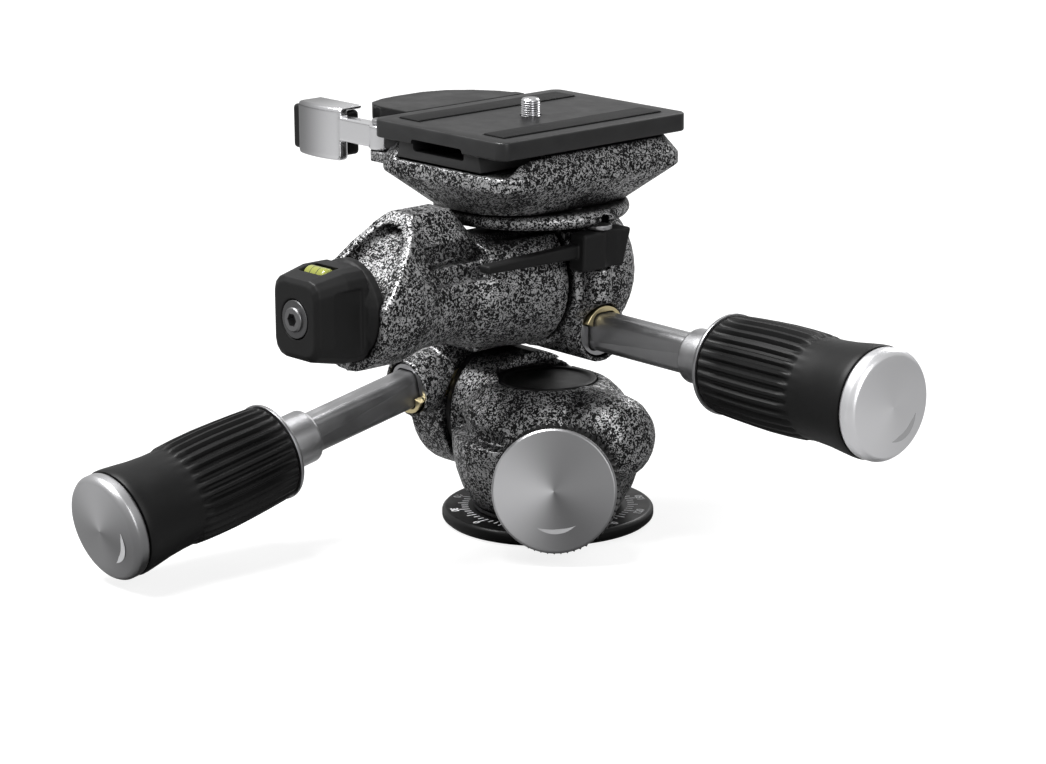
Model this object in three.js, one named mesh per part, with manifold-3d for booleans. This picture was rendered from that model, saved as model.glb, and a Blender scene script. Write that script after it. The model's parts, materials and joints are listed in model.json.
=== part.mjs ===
// Three way pan tilt head: a base that a tripod screw holds, a pan housing, a tilting yoke,
// a rolling bracket with a quick release clamp, and a camera plate. Millimetres, +Z up.
// The origin is on the pan axis, in the plane of the underside of the base.
// +X is the side of the roll handle, -Y is the side of the operator and of the tilt handle.
import * as THREE from 'three'
import { mergeVertices } from 'three/addons/utils/BufferGeometryUtils.js'
import Module from 'manifold-3d'

const wasm = await Module()
wasm.setup()

// Driving dimensions of the whole head
const TILT_HEIGHT = 29          // tilt axis above the underside of the base
const ROLL_RISE = 43.5          // roll axis above the tilt axis
const PLATE_RISE = 44           // top of the camera plate above the roll axis
const PLATE_SHIFT = 5.6         // centre of the clamp and plate in front of the pan axis
const GAP = 0.3                 // clearance between neighbouring pieces
const OVERRUN = 3               // how far a cutting shape runs past the face that it cuts
const WELD = 0.0001             // distance under which two corners are one
const FACETS = 24               // facets round a turned piece
const LARGE_FACETS = 32         // facets round the castings and discs
const SMALL_FACETS = 12         // facets round screws and pins
const RIGHT_ANGLE = Math.PI / 2
const QUARTER_TURN = 90         // the same in degrees, for the solids

// Finishes
const HAMMERTONE = { color: 0x4a4b4d, roughness: 0.45, metalness: 0.35 }
const BLACK_PAINT = { color: 0x202123, roughness: 0.5, metalness: 0.2 }
const BLACK_PLASTIC = { color: 0x2b2c2e, roughness: 0.6, metalness: 0 }
const RUBBER = { color: 0x1b1b1c, roughness: 0.85, metalness: 0 }
const STEEL = { color: 0x9a9c9e, roughness: 0.35, metalness: 1 }
const TURNED_METAL = { color: 0xc6c8ca, roughness: 0.3, metalness: 1 }
const ROD_METAL = { color: 0x6c6d6f, roughness: 0.4, metalness: 0.9 }
const BRASS = { color: 0xc9a45a, roughness: 0.35, metalness: 1 }
const POLYMER = { color: 0xe2e0da, roughness: 0.5, metalness: 0 }
const VIAL_FLUID = { color: 0xc9d64a, roughness: 0.15, metalness: 0 }

// Turns the winding of a welded mesh outwards and drops corners that fall together
function closedMesh(geometry) {
  const bare = new THREE.BufferGeometry()
  bare.setAttribute('position', geometry.getAttribute('position').clone())
  if (geometry.index) bare.setIndex(geometry.index.clone())
  const welded = mergeVertices(bare, WELD)
  const place = welded.getAttribute('position')
  const corners = []
  let volume = 0
  const a = new THREE.Vector3()
  const b = new THREE.Vector3()
  const c = new THREE.Vector3()
  for (let i = 0; i < welded.index.count; i += 3) {
    const [p, q, r] = [0, 1, 2].map((step) => welded.index.getX(i + step))
    if (p === q || q === r || p === r) continue
    corners.push(p, q, r)
    a.fromBufferAttribute(place, p)
    b.fromBufferAttribute(place, q)
    c.fromBufferAttribute(place, r)
    volume += a.dot(b.cross(c))
  }
  if (volume < 0) corners.reverse()
  welded.setIndex(corners)
  return welded
}

function solid(geometry) {
  const mesh = closedMesh(geometry)
  return new wasm.Manifold(new wasm.Mesh({
    numProp: 3,
    vertProperties: new Float32Array(mesh.getAttribute('position').array),
    triVerts: new Uint32Array(mesh.index.array),
  }))
}

function geometryOf(manifold) {
  const mesh = manifold.getMesh()
  const geometry = new THREE.BufferGeometry()
  geometry.setAttribute('position', new THREE.BufferAttribute(mesh.vertProperties, mesh.numProp))
  geometry.setIndex(new THREE.BufferAttribute(mesh.triVerts, 1))
  return geometry
}

function join(first, ...others) {
  return others.reduce((whole, next) => whole.add(next), first)
}

function cut(first, ...others) {
  return others.reduce((whole, next) => whole.subtract(next), first)
}

// A body of revolution about Z: its outline runs from axis to axis or closes on itself
function turned(outline, facets = FACETS) {
  const points = outline.map(([radius, height]) => new THREE.Vector2(radius, height))
  return new THREE.LatheGeometry(points, facets).rotateX(RIGHT_ANGLE)
}

function rod(radius, from, to, facets = FACETS) {
  return turned([[0, from], [radius, from], [radius, to], [0, to]], facets)
}

function tube(inner, outer, from, to, facets = FACETS) {
  return turned([[inner, from], [outer, from], [outer, to], [inner, to], [inner, from]], facets)
}

// Outlines given as shares of a radius and a length
function scaled(shares, radius, length, start = 0) {
  return shares.map(([across, along]) => [across * radius, start + along * length])
}

// Lays a piece that was made about Z along the tilt axis (+X) or the roll axis (forward, -Y)
function alongTilt(geometry) {
  return geometry.rotateY(RIGHT_ANGLE)
}

function alongRoll(geometry) {
  return geometry.rotateX(RIGHT_ANGLE)
}

// A skin over rings of equally many corners, closed by a fan at both ends
function lofted(rings) {
  const count = rings[0].length
  const places = rings.flat().flatMap((corner) => corner.toArray())
  const faces = []
  for (let ring = 0; ring < rings.length - 1; ring++) {
    for (let step = 0; step < count; step++) {
      const next = (step + 1) % count
      const low = ring * count
      const high = low + count
      faces.push(low + step, low + next, high + next, low + step, high + next, high + step)
    }
  }
  for (const end of [0, rings.length - 1]) {
    const middle = new THREE.Vector3()
    rings[end].forEach((corner) => middle.addScaledVector(corner, 1 / count))
    const hub = places.length / 3
    places.push(...middle.toArray())
    for (let step = 0; step < count; step++) {
      const next = (step + 1) % count
      const rim = end * count
      if (end === 0) faces.push(hub, rim + next, rim + step)
      else faces.push(hub, rim + step, rim + next)
    }
  }
  const geometry = new THREE.BufferGeometry()
  geometry.setAttribute('position', new THREE.Float32BufferAttribute(places, 3))
  geometry.setIndex(faces)
  return geometry
}

function ring(count, height, radiusAt) {
  return Array.from({ length: count }, (_, step) => {
    const angle = 2 * Math.PI * step / count
    const radius = radiusAt(angle, step)
    return new THREE.Vector3(radius * Math.cos(angle), radius * Math.sin(angle), height)
  })
}

// A rectangle with round corners, as corners in a plane across Z
function roundedRectangle(halfWidth, halfLength, corner, steps = 4) {
  const outline = []
  const middles = [[1, 1], [-1, 1], [-1, -1], [1, -1]]
  middles.forEach(([right, back], quarter) => {
    for (let step = 0; step <= steps; step++) {
      const angle = (quarter + step / steps) * RIGHT_ANGLE
      const x = right * (halfWidth - corner) + corner * Math.cos(angle)
      const y = back * (halfLength - corner) + corner * Math.sin(angle)
      outline.push(new THREE.Vector2(x, y))
    }
  })
  return outline
}

function slab(outline, from, to) {
  const depth = to - from
  return new THREE.ExtrudeGeometry(new THREE.Shape(outline), { depth, bevelEnabled: false })
    .translate(0, 0, from)
}

function piece(parent, name, form, finish) {
  const geometry = form instanceof THREE.BufferGeometry ? closedMesh(form) : geometryOf(form)
  const mesh = new THREE.Mesh(geometry, new THREE.MeshStandardMaterial(finish))
  mesh.name = name
  parent.add(mesh)
  return mesh
}

// A six-sided nut on a round flange, from its seat outwards along Z
function flangedNut(hole, across, flangeRadius, flangeThickness, height) {
  const hex = solid(rod(across, flangeThickness / 2, height, 6))
  const flange = solid(rod(flangeRadius, 0, flangeThickness))
  return cut(join(hex, flange), solid(rod(hole, -OVERRUN, height + OVERRUN)))
}

const head = new THREE.Group()
const panGroup = new THREE.Group()
const yokeGroup = new THREE.Group()
const rollGroup = new THREE.Group()
yokeGroup.position.z = TILT_HEIGHT
rollGroup.position.z = ROLL_RISE
head.add(panGroup)
panGroup.add(yokeGroup)
yokeGroup.add(rollGroup)

// Base: a flat disc that the tripod carries, with a grooved drum that the pan housing turns on
const base = { radius: 30, thickness: 4, edge: 0.8, drumRadius: 16, drumTop: 19.6, drumEdge: 0.8 }
const groove = { middle: 15.7, halfWidth: 2.2, halfFloor: 1, depth: 2 }
const insert = { radius: 7.5, length: 15, threadRadius: 4.2, threadDepth: 14 }

function makeBase() {
  const hole = insert.radius + GAP
  const outline = [
    [0, insert.length + GAP], [hole, insert.length + GAP], [hole, 0],
    [base.radius - base.edge, 0], [base.radius, base.edge],
    [base.radius, base.thickness - base.edge], [base.radius - base.edge, base.thickness],
    [base.drumRadius, base.thickness],
    [base.drumRadius, groove.middle - groove.halfWidth],
    [base.drumRadius - groove.depth, groove.middle - groove.halfFloor],
    [base.drumRadius - groove.depth, groove.middle + groove.halfFloor],
    [base.drumRadius, groove.middle + groove.halfWidth],
    [base.drumRadius, base.drumTop - base.drumEdge],
    [base.drumRadius - base.drumEdge, base.drumTop], [0, base.drumTop],
  ]
  piece(head, 'base_plate', turned(outline, LARGE_FACETS), BLACK_PAINT)
  const bush = [
    [0, insert.threadDepth], [insert.threadRadius, insert.threadDepth], [insert.threadRadius, GAP],
    [insert.radius, GAP], [insert.radius, insert.length], [0, insert.length],
  ]
  piece(head, 'tripod_thread_insert', turned(bush), STEEL)
}

// Pan housing: a casting with a tapering neck, a stepped shoulder and a domed top,
// crossed by the tilt barrel, with a blind bulge on the right and a boss for the pan knob
const pan = {
  radius: 27, bottom: 5.6, top: 40.9, barrelRadius: 18.5, barrelEnd: -21.8, barrelRun: 16,
  barrelEdge: 1, bulgeRadius: 12.2, bulgeReach: 37, capRadius: 14, capSeat: 39.5,
  capThickness: 1.3, dishDepth: 0.8, dishRadius: 11.5, dishEdge: 1.2,
}
const neck_and_dome_shares = [
  [0, 0], [0.79, 0], [0.82, 0.04], [0.9, 0.14], [0.965, 0.29], [1, 0.44], [1, 0.53], [0.985, 0.555],
  [0.93, 0.575], [0.925, 0.66], [0.87, 0.79], [0.77, 0.9], [0.66, 0.97], [0.58, 1], [0, 1],
]
const bulge_shares = [[0, 0], [1, 0], [1, 0.7], [0.95, 0.82], [0.79, 0.92], [0.47, 0.985], [0, 1]]
const swing = {
  clearRadius: 19.3, slopeTop: 4, slopeRun: 9.2, slopeFoot: 12.5, taper: 2.2, taperFrom: 2, taperTo: 20,
}
const knob = {
  azimuth: 0.75, lift: 0.157, offset: 5.5, height: 21, reach: 46, radius: 17.8, grip: 10.5,
  capThickness: 2, bevel: 0.7, dome: 0.5, teeth: 40, toothDepth: 0.7, bore: 3.2, screwRadius: 2.9,
  bossRadius: 10.5, bossInner: 14, bossOuter: 32.6, hubRadius: 8,
}
const shoe = { radius: 5, length: 8 }
const guide = { radius: 2.4, length: 7.2, turns: [2.15, 3.7] }
const grooveTip = { radius: 0.8, coneLength: 1.7, coneRadius: 1.7 }
const frictionRing = { inner: 17.4, outer: 21, thickness: 1 }
const tiltShaft = {
  radius: 6.5, drumRadius: 10, drumOuter: -34, drumInner: -22.6, studRadius: 4, studEnd: -37.2,
  inner: 29.5,
}
const crossScrew = { headRadius: 5.8, headTop: 39.1, headHeight: 2, shankRadius: 2.5, tip: 32 }

// Frame of the pan knob: its Z runs out along the knob's screw
function knobFrame() {
  const out = new THREE.Vector3(
    Math.sin(knob.azimuth) * Math.cos(knob.lift), -Math.cos(knob.azimuth) * Math.cos(knob.lift),
    Math.sin(knob.lift))
  const side = new THREE.Vector3(Math.cos(knob.azimuth), Math.sin(knob.azimuth), 0)
  const face = out.clone().setZ(0).normalize().multiplyScalar(knob.reach)
    .addScaledVector(side, knob.offset).setZ(knob.height)
  const frame = new THREE.Matrix4().makeBasis(side, new THREE.Vector3().crossVectors(out, side), out)
  return frame.setPosition(face.addScaledVector(out, -knob.reach))
}

function guideFrame(turn) {
  const frame = new THREE.Matrix4().makeRotationZ(knob.azimuth + turn)
  return frame.multiply(new THREE.Matrix4().makeRotationX(RIGHT_ANGLE))
    .premultiply(new THREE.Matrix4().makeTranslation(0, 0, groove.middle))
}

const shoeTip = base.drumRadius - groove.depth + GAP

// The cone that runs in the groove of the drum, and the shoulder behind it
function grooveTipOutline(radius) {
  return [
    [0, shoeTip], [grooveTip.radius, shoeTip],
    [grooveTip.coneRadius, shoeTip + grooveTip.coneLength],
    [radius, shoeTip + groove.depth + GAP],
  ]
}

function makePanHousing() {
  const height = pan.top - pan.bottom
  const outer = solid(turned(scaled(neck_and_dome_shares, pan.radius, height, pan.bottom), LARGE_FACETS))
  const edge = pan.barrelEdge
  const end = pan.barrelEnd
  const barrel = solid(alongTilt(turned([
    [0, end], [pan.barrelRadius - edge, end], [pan.barrelRadius, end + edge],
    [pan.barrelRadius, end + pan.barrelRun], [0, end + pan.barrelRun],
  ])).translate(0, 0, TILT_HEIGHT))
  const bulge = solid(alongTilt(turned(scaled(bulge_shares, pan.bulgeRadius, pan.bulgeReach)))
    .translate(0, 0, TILT_HEIGHT))
  const boss = solid(rod(knob.bossRadius, knob.bossInner, knob.bossOuter).applyMatrix4(knobFrame()))
  const body = join(outer, barrel, bulge, boss)

  // The rear of the shoulder and dome is cut back, so that the bracket swings past it
  const wide = 2 * pan.radius
  const r = swing.clearRadius
  const relief_outline = [
    [pan.barrelRadius / 2, wide], [wide, wide], [wide, -r], [r + swing.slopeRun, -swing.slopeFoot],
    [r, -swing.slopeTop], [pan.barrelRadius / 2, -swing.slopeTop],
  ].map(([back, up]) => new THREE.Vector2(back, up))
  const reliefBlock = solid(slab(relief_outline, -wide, wide).rotateX(RIGHT_ANGLE)
    .rotateZ(RIGHT_ANGLE).translate(0, 0, TILT_HEIGHT))
  const swept = solid(alongTilt(turned([
    [0, -2 * wide], [r, -2 * wide], [r, swing.taperFrom], [r - swing.taper, swing.taperTo],
    [r - swing.taper, 2 * wide], [0, 2 * wide],
  ], LARGE_FACETS)).translate(0, 0, TILT_HEIGHT))
  const relief = cut(reliefBlock, swept)

  const sideRoom = solid(new THREE.BoxGeometry(wide, 2 * wide, 2 * wide)
    .translate(end - wide / 2, 0, 0))
  const gripBack = knob.reach - knob.capThickness - knob.grip - 2 * GAP
  const knobRoom = solid(rod(knob.radius + 2 * GAP, gripBack, 2 * knob.reach)
    .applyMatrix4(knobFrame()))
  const drumBore = solid(rod(base.drumRadius + GAP, -OVERRUN, base.drumTop + GAP, LARGE_FACETS))
  const shaftBore = solid(alongTilt(rod(tiltShaft.radius + GAP, end - OVERRUN, tiltShaft.inner + GAP))
    .translate(0, 0, TILT_HEIGHT))
  const capSeat = solid(rod(pan.capRadius + GAP, pan.capSeat, pan.top + OVERRUN, LARGE_FACETS))
  const screwSeat = solid(rod(crossScrew.headRadius + GAP,
    crossScrew.headTop - crossScrew.headHeight - GAP, pan.top, SMALL_FACETS))
  const screwBore = solid(rod(crossScrew.shankRadius + GAP, TILT_HEIGHT, pan.top, SMALL_FACETS))
  const knobBore = solid(rod(knob.bore, 0, knob.bossOuter + OVERRUN, SMALL_FACETS).applyMatrix4(knobFrame()))
  const shoeBore = solid(rod(shoe.radius + GAP, 0, shoeTip + shoe.length + GAP, SMALL_FACETS)
    .applyMatrix4(knobFrame()))
  const guideBores = guide.turns.map((turn) => solid(
    rod(guide.radius + GAP, 0, pan.radius + OVERRUN, SMALL_FACETS).applyMatrix4(guideFrame(turn))))
  const casting = cut(body, relief, sideRoom, knobRoom, drumBore, shaftBore, capSeat, screwSeat, screwBore, knobBore,
    shoeBore, ...guideBores)
  piece(panGroup, 'pan_housing', casting, HAMMERTONE)
}

function makePanSmallPieces() {
  const seat = base.thickness + GAP
  piece(panGroup, 'pan_friction_ring',
    tube(frictionRing.inner, frictionRing.outer, seat, seat + frictionRing.thickness), POLYMER)

  const low = pan.capSeat + GAP
  const high = low + pan.capThickness
  piece(panGroup, 'pan_top_cap', turned([
    [0, low], [pan.capRadius, low], [pan.capRadius, high], [pan.dishRadius + pan.dishEdge, high],
    [pan.dishRadius, high - pan.dishDepth], [0, high - pan.dishDepth],
  ], LARGE_FACETS), BLACK_PLASTIC)

  const under = crossScrew.headTop - crossScrew.headHeight
  piece(panGroup, 'tilt_shaft_screw', turned([
    [0, crossScrew.tip], [crossScrew.shankRadius, crossScrew.tip], [crossScrew.shankRadius, under],
    [crossScrew.headRadius, under], [crossScrew.headRadius, crossScrew.headTop],
    [0, crossScrew.headTop],
  ], SMALL_FACETS), STEEL)

  guide.turns.forEach((turn, index) => {
    const screw = piece(panGroup, `pan_guide_screw_${index + 1}`, turned([
      ...grooveTipOutline(guide.radius), [guide.radius, shoeTip + guide.length],
      [0, shoeTip + guide.length],
    ], SMALL_FACETS), STEEL)
    screw.applyMatrix4(guideFrame(turn))
  })
}

function makePanKnob() {
  const knobGroup = new THREE.Group()
  knobGroup.applyMatrix4(knobFrame())
  panGroup.add(knobGroup)
  piece(knobGroup, 'pan_clamp_shoe', turned([
    ...grooveTipOutline(shoe.radius), [shoe.radius, shoeTip + shoe.length],
    [0, shoeTip + shoe.length],
  ]), BRASS)

  const capBack = knob.reach - knob.capThickness
  const gripBack = capBack - GAP - knob.grip
  const screwTip = shoeTip + shoe.length + GAP
  const screwEnd = capBack - knob.grip / 2
  piece(knobGroup, 'pan_lock_screw', rod(knob.screwRadius, screwTip, screwEnd, SMALL_FACETS), STEEL)

  const teeth = 2 * knob.teeth
  const toothed = (height, inset) => ring(teeth, height,
    (_, step) => knob.radius - inset - (step % 2) * knob.toothDepth)
  const gripFront = capBack - GAP
  const rim = solid(lofted([
    toothed(gripBack, knob.toothDepth * 2), toothed(gripBack + knob.toothDepth, 0),
    toothed(gripFront - knob.toothDepth, 0), toothed(gripFront, knob.toothDepth),
  ]))
  const screwHole = solid(rod(knob.screwRadius + GAP, gripBack - OVERRUN, screwEnd + GAP, SMALL_FACETS))
  piece(knobGroup, 'pan_knob_grip', cut(rim, screwHole), RUBBER)

  const face = knob.reach
  piece(knobGroup, 'pan_knob_cap', turned([
    [0, capBack], [knob.radius - knob.toothDepth, capBack],
    [knob.radius - knob.toothDepth, face - knob.dome - knob.bevel],
    [knob.radius - knob.toothDepth - knob.bevel, face - knob.dome], [0, face],
  ], LARGE_FACETS), TURNED_METAL)
}

// Handles: both are the same assembly, made along Z with its origin at the mouth of the socket
const handle = {
  rodHalfWidth: 4, rodHalfHeight: 5.2, rodCorner: 2, rodStart: -9.5, rodEnd: 64,
  socketRadius: 7.6, socketDepth: 11, bossRadius: 8.9,
  collarRadius: 7.2, collarRecess: 0.8, keyProud: 1.2, keyHalfAngle: 1.15,
  sleeveStart: 37, sleeveRadius: 7.6, sleeveLength: 11.7, sleeveEdge: 0.8, spigotRadius: 6.9,
  spigotEnd: 76, gripStart: 49, gripLength: 54, gripRadius: 15.1, coreRadius: 11,
  frontRingThickness: 1.4, capLength: 5.5, capRadius: 14.9, capBevel: 1.3, capDome: 1,
  drawRodRadius: 1.9, drawRodBore: 2.3, drawRodStart: -20, drawRodEnd: 92,
  cotterRadius: 6.4, cotterStart: -21, cotterLength: 11.2, ribs: 22, ribDepth: 1.2,
}
const grip_shares = [
  [0.89, 0, 0], [0.915, 0.02, 1], [0.95, 0.25, 1], [0.965, 0.42, 1], [0.935, 0.62, 1], [0.9, 0.64, 0],
  [0.915, 0.76, 0], [1, 0.96, 0], [0.97, 1, 0],
]

function rodOutline(spare) {
  return roundedRectangle(handle.rodHalfWidth + spare, handle.rodHalfHeight + spare,
    handle.rodCorner + spare)
}

// A wedge-shaped block below the rod, which splits the socket collar from the brass key
function keySector(halfAngle, from, to) {
  const reach = 3 * handle.collarRadius
  const outline = [new THREE.Vector2(0, 0)]
  for (const side of [-1, 0, 1]) {
    const angle = -RIGHT_ANGLE + side * halfAngle
    outline.push(new THREE.Vector2(reach * Math.cos(angle), reach * Math.sin(angle)))
  }
  return solid(slab(outline, from, to))
}

function makeHandle(parent, prefix, frame, notch) {
  const group = new THREE.Group()
  group.applyMatrix4(frame)
  parent.add(group)
  const h = handle
  const drawBore = solid(rod(h.drawRodBore, h.cotterStart - OVERRUN, h.drawRodEnd + OVERRUN, SMALL_FACETS))

  const bar = solid(slab(rodOutline(0), h.rodStart, h.rodEnd))
  piece(group, `${prefix}_handle_rod`, cut(bar, drawBore), ROD_METAL)

  const rodHole = solid(slab(rodOutline(GAP), h.rodStart - OVERRUN, h.rodEnd + OVERRUN))
  const collarBlank = solid(rod(h.collarRadius, h.rodStart, -h.collarRecess))
  const split = keySector(h.keyHalfAngle + GAP / h.collarRadius, h.rodStart - OVERRUN, OVERRUN)
  piece(group, `${prefix}_socket_collar`, cut(collarBlank, rodHole, split), STEEL)
  const keyBlank = solid(rod(h.collarRadius, h.rodStart, h.keyProud))
  const sector = keySector(h.keyHalfAngle, h.rodStart - OVERRUN, h.keyProud + OVERRUN)
  piece(group, `${prefix}_socket_key`, cut(keyBlank.intersect(sector), rodHole), BRASS)

  const sleeveEnd = h.sleeveStart + h.sleeveLength
  const sleeve = solid(turned([
    [0, h.sleeveStart], [h.sleeveRadius - h.sleeveEdge, h.sleeveStart],
    [h.sleeveRadius, h.sleeveStart + h.sleeveEdge], [h.sleeveRadius, sleeveEnd],
    [h.spigotRadius, sleeveEnd], [h.spigotRadius, h.spigotEnd], [0, h.spigotEnd],
  ]))
  const rodSeat = solid(slab(rodOutline(GAP), h.sleeveStart - OVERRUN, h.rodEnd + GAP))
  piece(group, `${prefix}_handle_sleeve`, cut(sleeve, rodSeat, drawBore), TURNED_METAL)

  piece(group, `${prefix}_draw_rod`, rod(h.drawRodRadius, h.drawRodStart, h.drawRodEnd, SMALL_FACETS), STEEL)

  const cotter = solid(rod(h.cotterRadius, h.cotterStart, h.cotterStart + h.cotterLength, SMALL_FACETS))
  piece(group, `${prefix}_clamp_cotter`, cut(cotter, drawBore, notch), BRASS)

  const gripEnd = h.gripStart + h.gripLength
  const front = h.gripStart
  const rubberStart = front + h.frontRingThickness + GAP
  const spigotBore = solid(rod(h.spigotRadius + GAP, front - OVERRUN, h.spigotEnd + GAP))
  const rodBore = solid(rod(h.drawRodRadius + GAP, front, h.drawRodEnd + GAP, SMALL_FACETS))
  const core = solid(rod(h.coreRadius, rubberStart, gripEnd))
  piece(group, `${prefix}_grip_core`, cut(core, spigotBore, rodBore), ROD_METAL)

  const frontRing = tube(h.spigotRadius + GAP, h.gripRadius * grip_shares[0][0], front,
    front + h.frontRingThickness, LARGE_FACETS)
  piece(group, `${prefix}_grip_ring`, frontRing, TURNED_METAL)

  const corners = 2 * h.ribs
  const gripRings = grip_shares.map(([across, along, ribbed]) => ring(corners,
    rubberStart + along * (gripEnd - rubberStart),
    (_, step) => h.gripRadius * across - (step % 2) * ribbed * h.ribDepth))
  const coreBore = solid(rod(h.coreRadius + GAP, front, gripEnd + OVERRUN, FACETS))
  piece(group, `${prefix}_grip_rubber`, cut(solid(lofted(gripRings)), coreBore), RUBBER)

  const capStart = gripEnd + GAP
  const capEnd = capStart + h.capLength
  piece(group, `${prefix}_grip_cap`, turned([
    [0, capStart], [h.capRadius, capStart], [h.capRadius, capEnd - h.capDome - h.capBevel],
    [h.capRadius - h.capBevel, capEnd - h.capDome], [0, capEnd],
  ], LARGE_FACETS), TURNED_METAL)
}

// The cotter of a handle is hollowed to lie against the drum that it grips
function tiltNotch() {
  const reach = 2 * yoke.cheekRadius
  const drum = solid(alongTilt(rod(tiltShaft.drumRadius + GAP, -reach, reach, LARGE_FACETS)))
  const nut = solid(alongTilt(rod(tiltNut.flangeRadius + GAP, -reach, yoke.nutSeat + GAP)))
  const inverse = tiltSocketFrame().invert()
  return join(drum, nut).transform(inverse.toArray())
}

function rollNotch() {
  const inverse = rollSocketFrame().invert()
  return solid(alongRoll(rod(rollSleeve.radius + GAP, -bracket.radius * 3, bracket.radius * 3, LARGE_FACETS))
    .applyMatrix4(inverse))
}

// The hollow for a handle in the casting that holds it
function socketCuts(frame) {
  const socket = rod(handle.socketRadius, -handle.socketDepth, OVERRUN).applyMatrix4(frame)
  const bore = rod(handle.cotterRadius + GAP, handle.cotterStart - GAP, 0, SMALL_FACETS).applyMatrix4(frame)
  return [solid(socket), solid(bore)]
}

// Yoke: a round cheek on the tilt shaft, a slanting web and the roll barrel, in one casting
const yoke = {
  cheekOuter: -38.6, cheekInner: -24.2, cheekRadius: 19.2, cheekEdge: 1.6, nutSeat: -34.4,
  coverRadius: 12.6, coverThickness: 1.2, coverDish: 0.5, bossRear: -38,
  webFront: 17, webRear: -9, webFoot: 6, webShoulder: 1.13,
}
const tiltSocket = { x: -30.5, forward: 26, rise: 7.7, slope: 0.187 }
const tiltNut = { radius: 7.6, flangeRadius: 12.2, flangeThickness: 0.8, height: 2.6 }
const tiltDisc = { outer: 17.2, thickness: 1.5 }
const barrel = {
  gapFace: 9.3, frontFace: 72.4, leanTop: 52.5, leanLow: 2, radius: 19.5, frontRadius: 17,
  waistRadius: 14.6, waistAt: 51, roof: 15.4, ridge: 23.2, ridgeStart: 36, slantAngle: 0.72,
  slantReach: 15.6, sideFlat: 14.2, rim: 3, pocketDepth: 4, ringClear: 28.2, corners: 32,
}
// Along the barrel: place, lower radius, roof height, and how far the left side is cut flat
const barrel_stations = [
  [barrel.gapFace, barrel.radius, barrel.roof, barrel.sideFlat],
  [barrel.gapFace + barrel.rim, barrel.radius, barrel.roof, barrel.sideFlat],
  [barrel.ridgeStart - barrel.rim, barrel.frontRadius, barrel.roof, barrel.sideFlat],
  [barrel.ridgeStart + barrel.rim, barrel.waistRadius, barrel.ridge, barrel.sideFlat],
  [barrel.waistAt, barrel.waistRadius, barrel.ridge, barrel.frontRadius],
  [barrel.waistAt + 3 * barrel.rim, barrel.frontRadius, barrel.ridge, barrel.frontRadius],
  [barrel.frontFace, barrel.frontRadius, barrel.ridge, barrel.frontRadius],
]
const rollSleeve = { radius: 10, bore: 6.3, start: -8.4, end: 48 }

// The section is round below. Behind the ridge the left side and the roof stay close to the
// axis, because the clamp's neck ring swings round them, and the right side has a slanting flat.
function barrelRadius(angle, lower, roof, left, inset) {
  const up = Math.sin(angle)
  const across = Math.cos(angle)
  const radius = lower - inset
  const flat = across < 0 ? (left - inset) / -across : radius
  if (up <= 0) return Math.min(radius, flat)
  const underRoof = (roof - inset) / up
  const fromLevel = Math.asin(up)
  const ridged = roof > barrel.roof
  if (!ridged && across < 0) return Math.min(left - inset, underRoof)
  const flank = RIGHT_ANGLE - barrel.slantAngle
  const lean = ridged ? flank / 2 : flank
  const reach = ridged ? radius : Math.min(radius, barrel.slantReach - inset)
  const slanted = fromLevel > lean ? reach / Math.cos(fromLevel - lean) : radius
  return Math.min(slanted, underRoof)
}

function barrelLoft(inset) {
  return solid(lofted(barrel_stations.map(([along, lower, roof, left]) => ring(
    barrel.corners, along, (angle) => barrelRadius(angle, lower, roof, left, inset)))))
}

// Everything in front of the leaning front face, set back by a depth
function frontOfFace(depth) {
  const face = barrel.frontFace - depth
  const reach = barrel.frontFace
  const outline = [
    new THREE.Vector2(face, -reach), new THREE.Vector2(face, barrel.leanLow),
    new THREE.Vector2(barrel.leanTop - depth, barrel.ridge),
    new THREE.Vector2(barrel.leanTop - depth - OVERRUN, barrel.ridge + OVERRUN * 2),
    new THREE.Vector2(2 * reach, barrel.ridge + OVERRUN * 2), new THREE.Vector2(2 * reach, -reach),
  ]
  // The outline is drawn as (forward, up) and swept from left to right
  return solid(slab(outline, -reach, reach).rotateY(-RIGHT_ANGLE))
}

function tiltSocketFrame() {
  const frame = new THREE.Matrix4().makeRotationX(RIGHT_ANGLE + tiltSocket.slope)
  return frame.setPosition(tiltSocket.x, -tiltSocket.forward, tiltSocket.rise)
}

const upToRoll = new THREE.Matrix4().makeTranslation(0, 0, ROLL_RISE)

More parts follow.
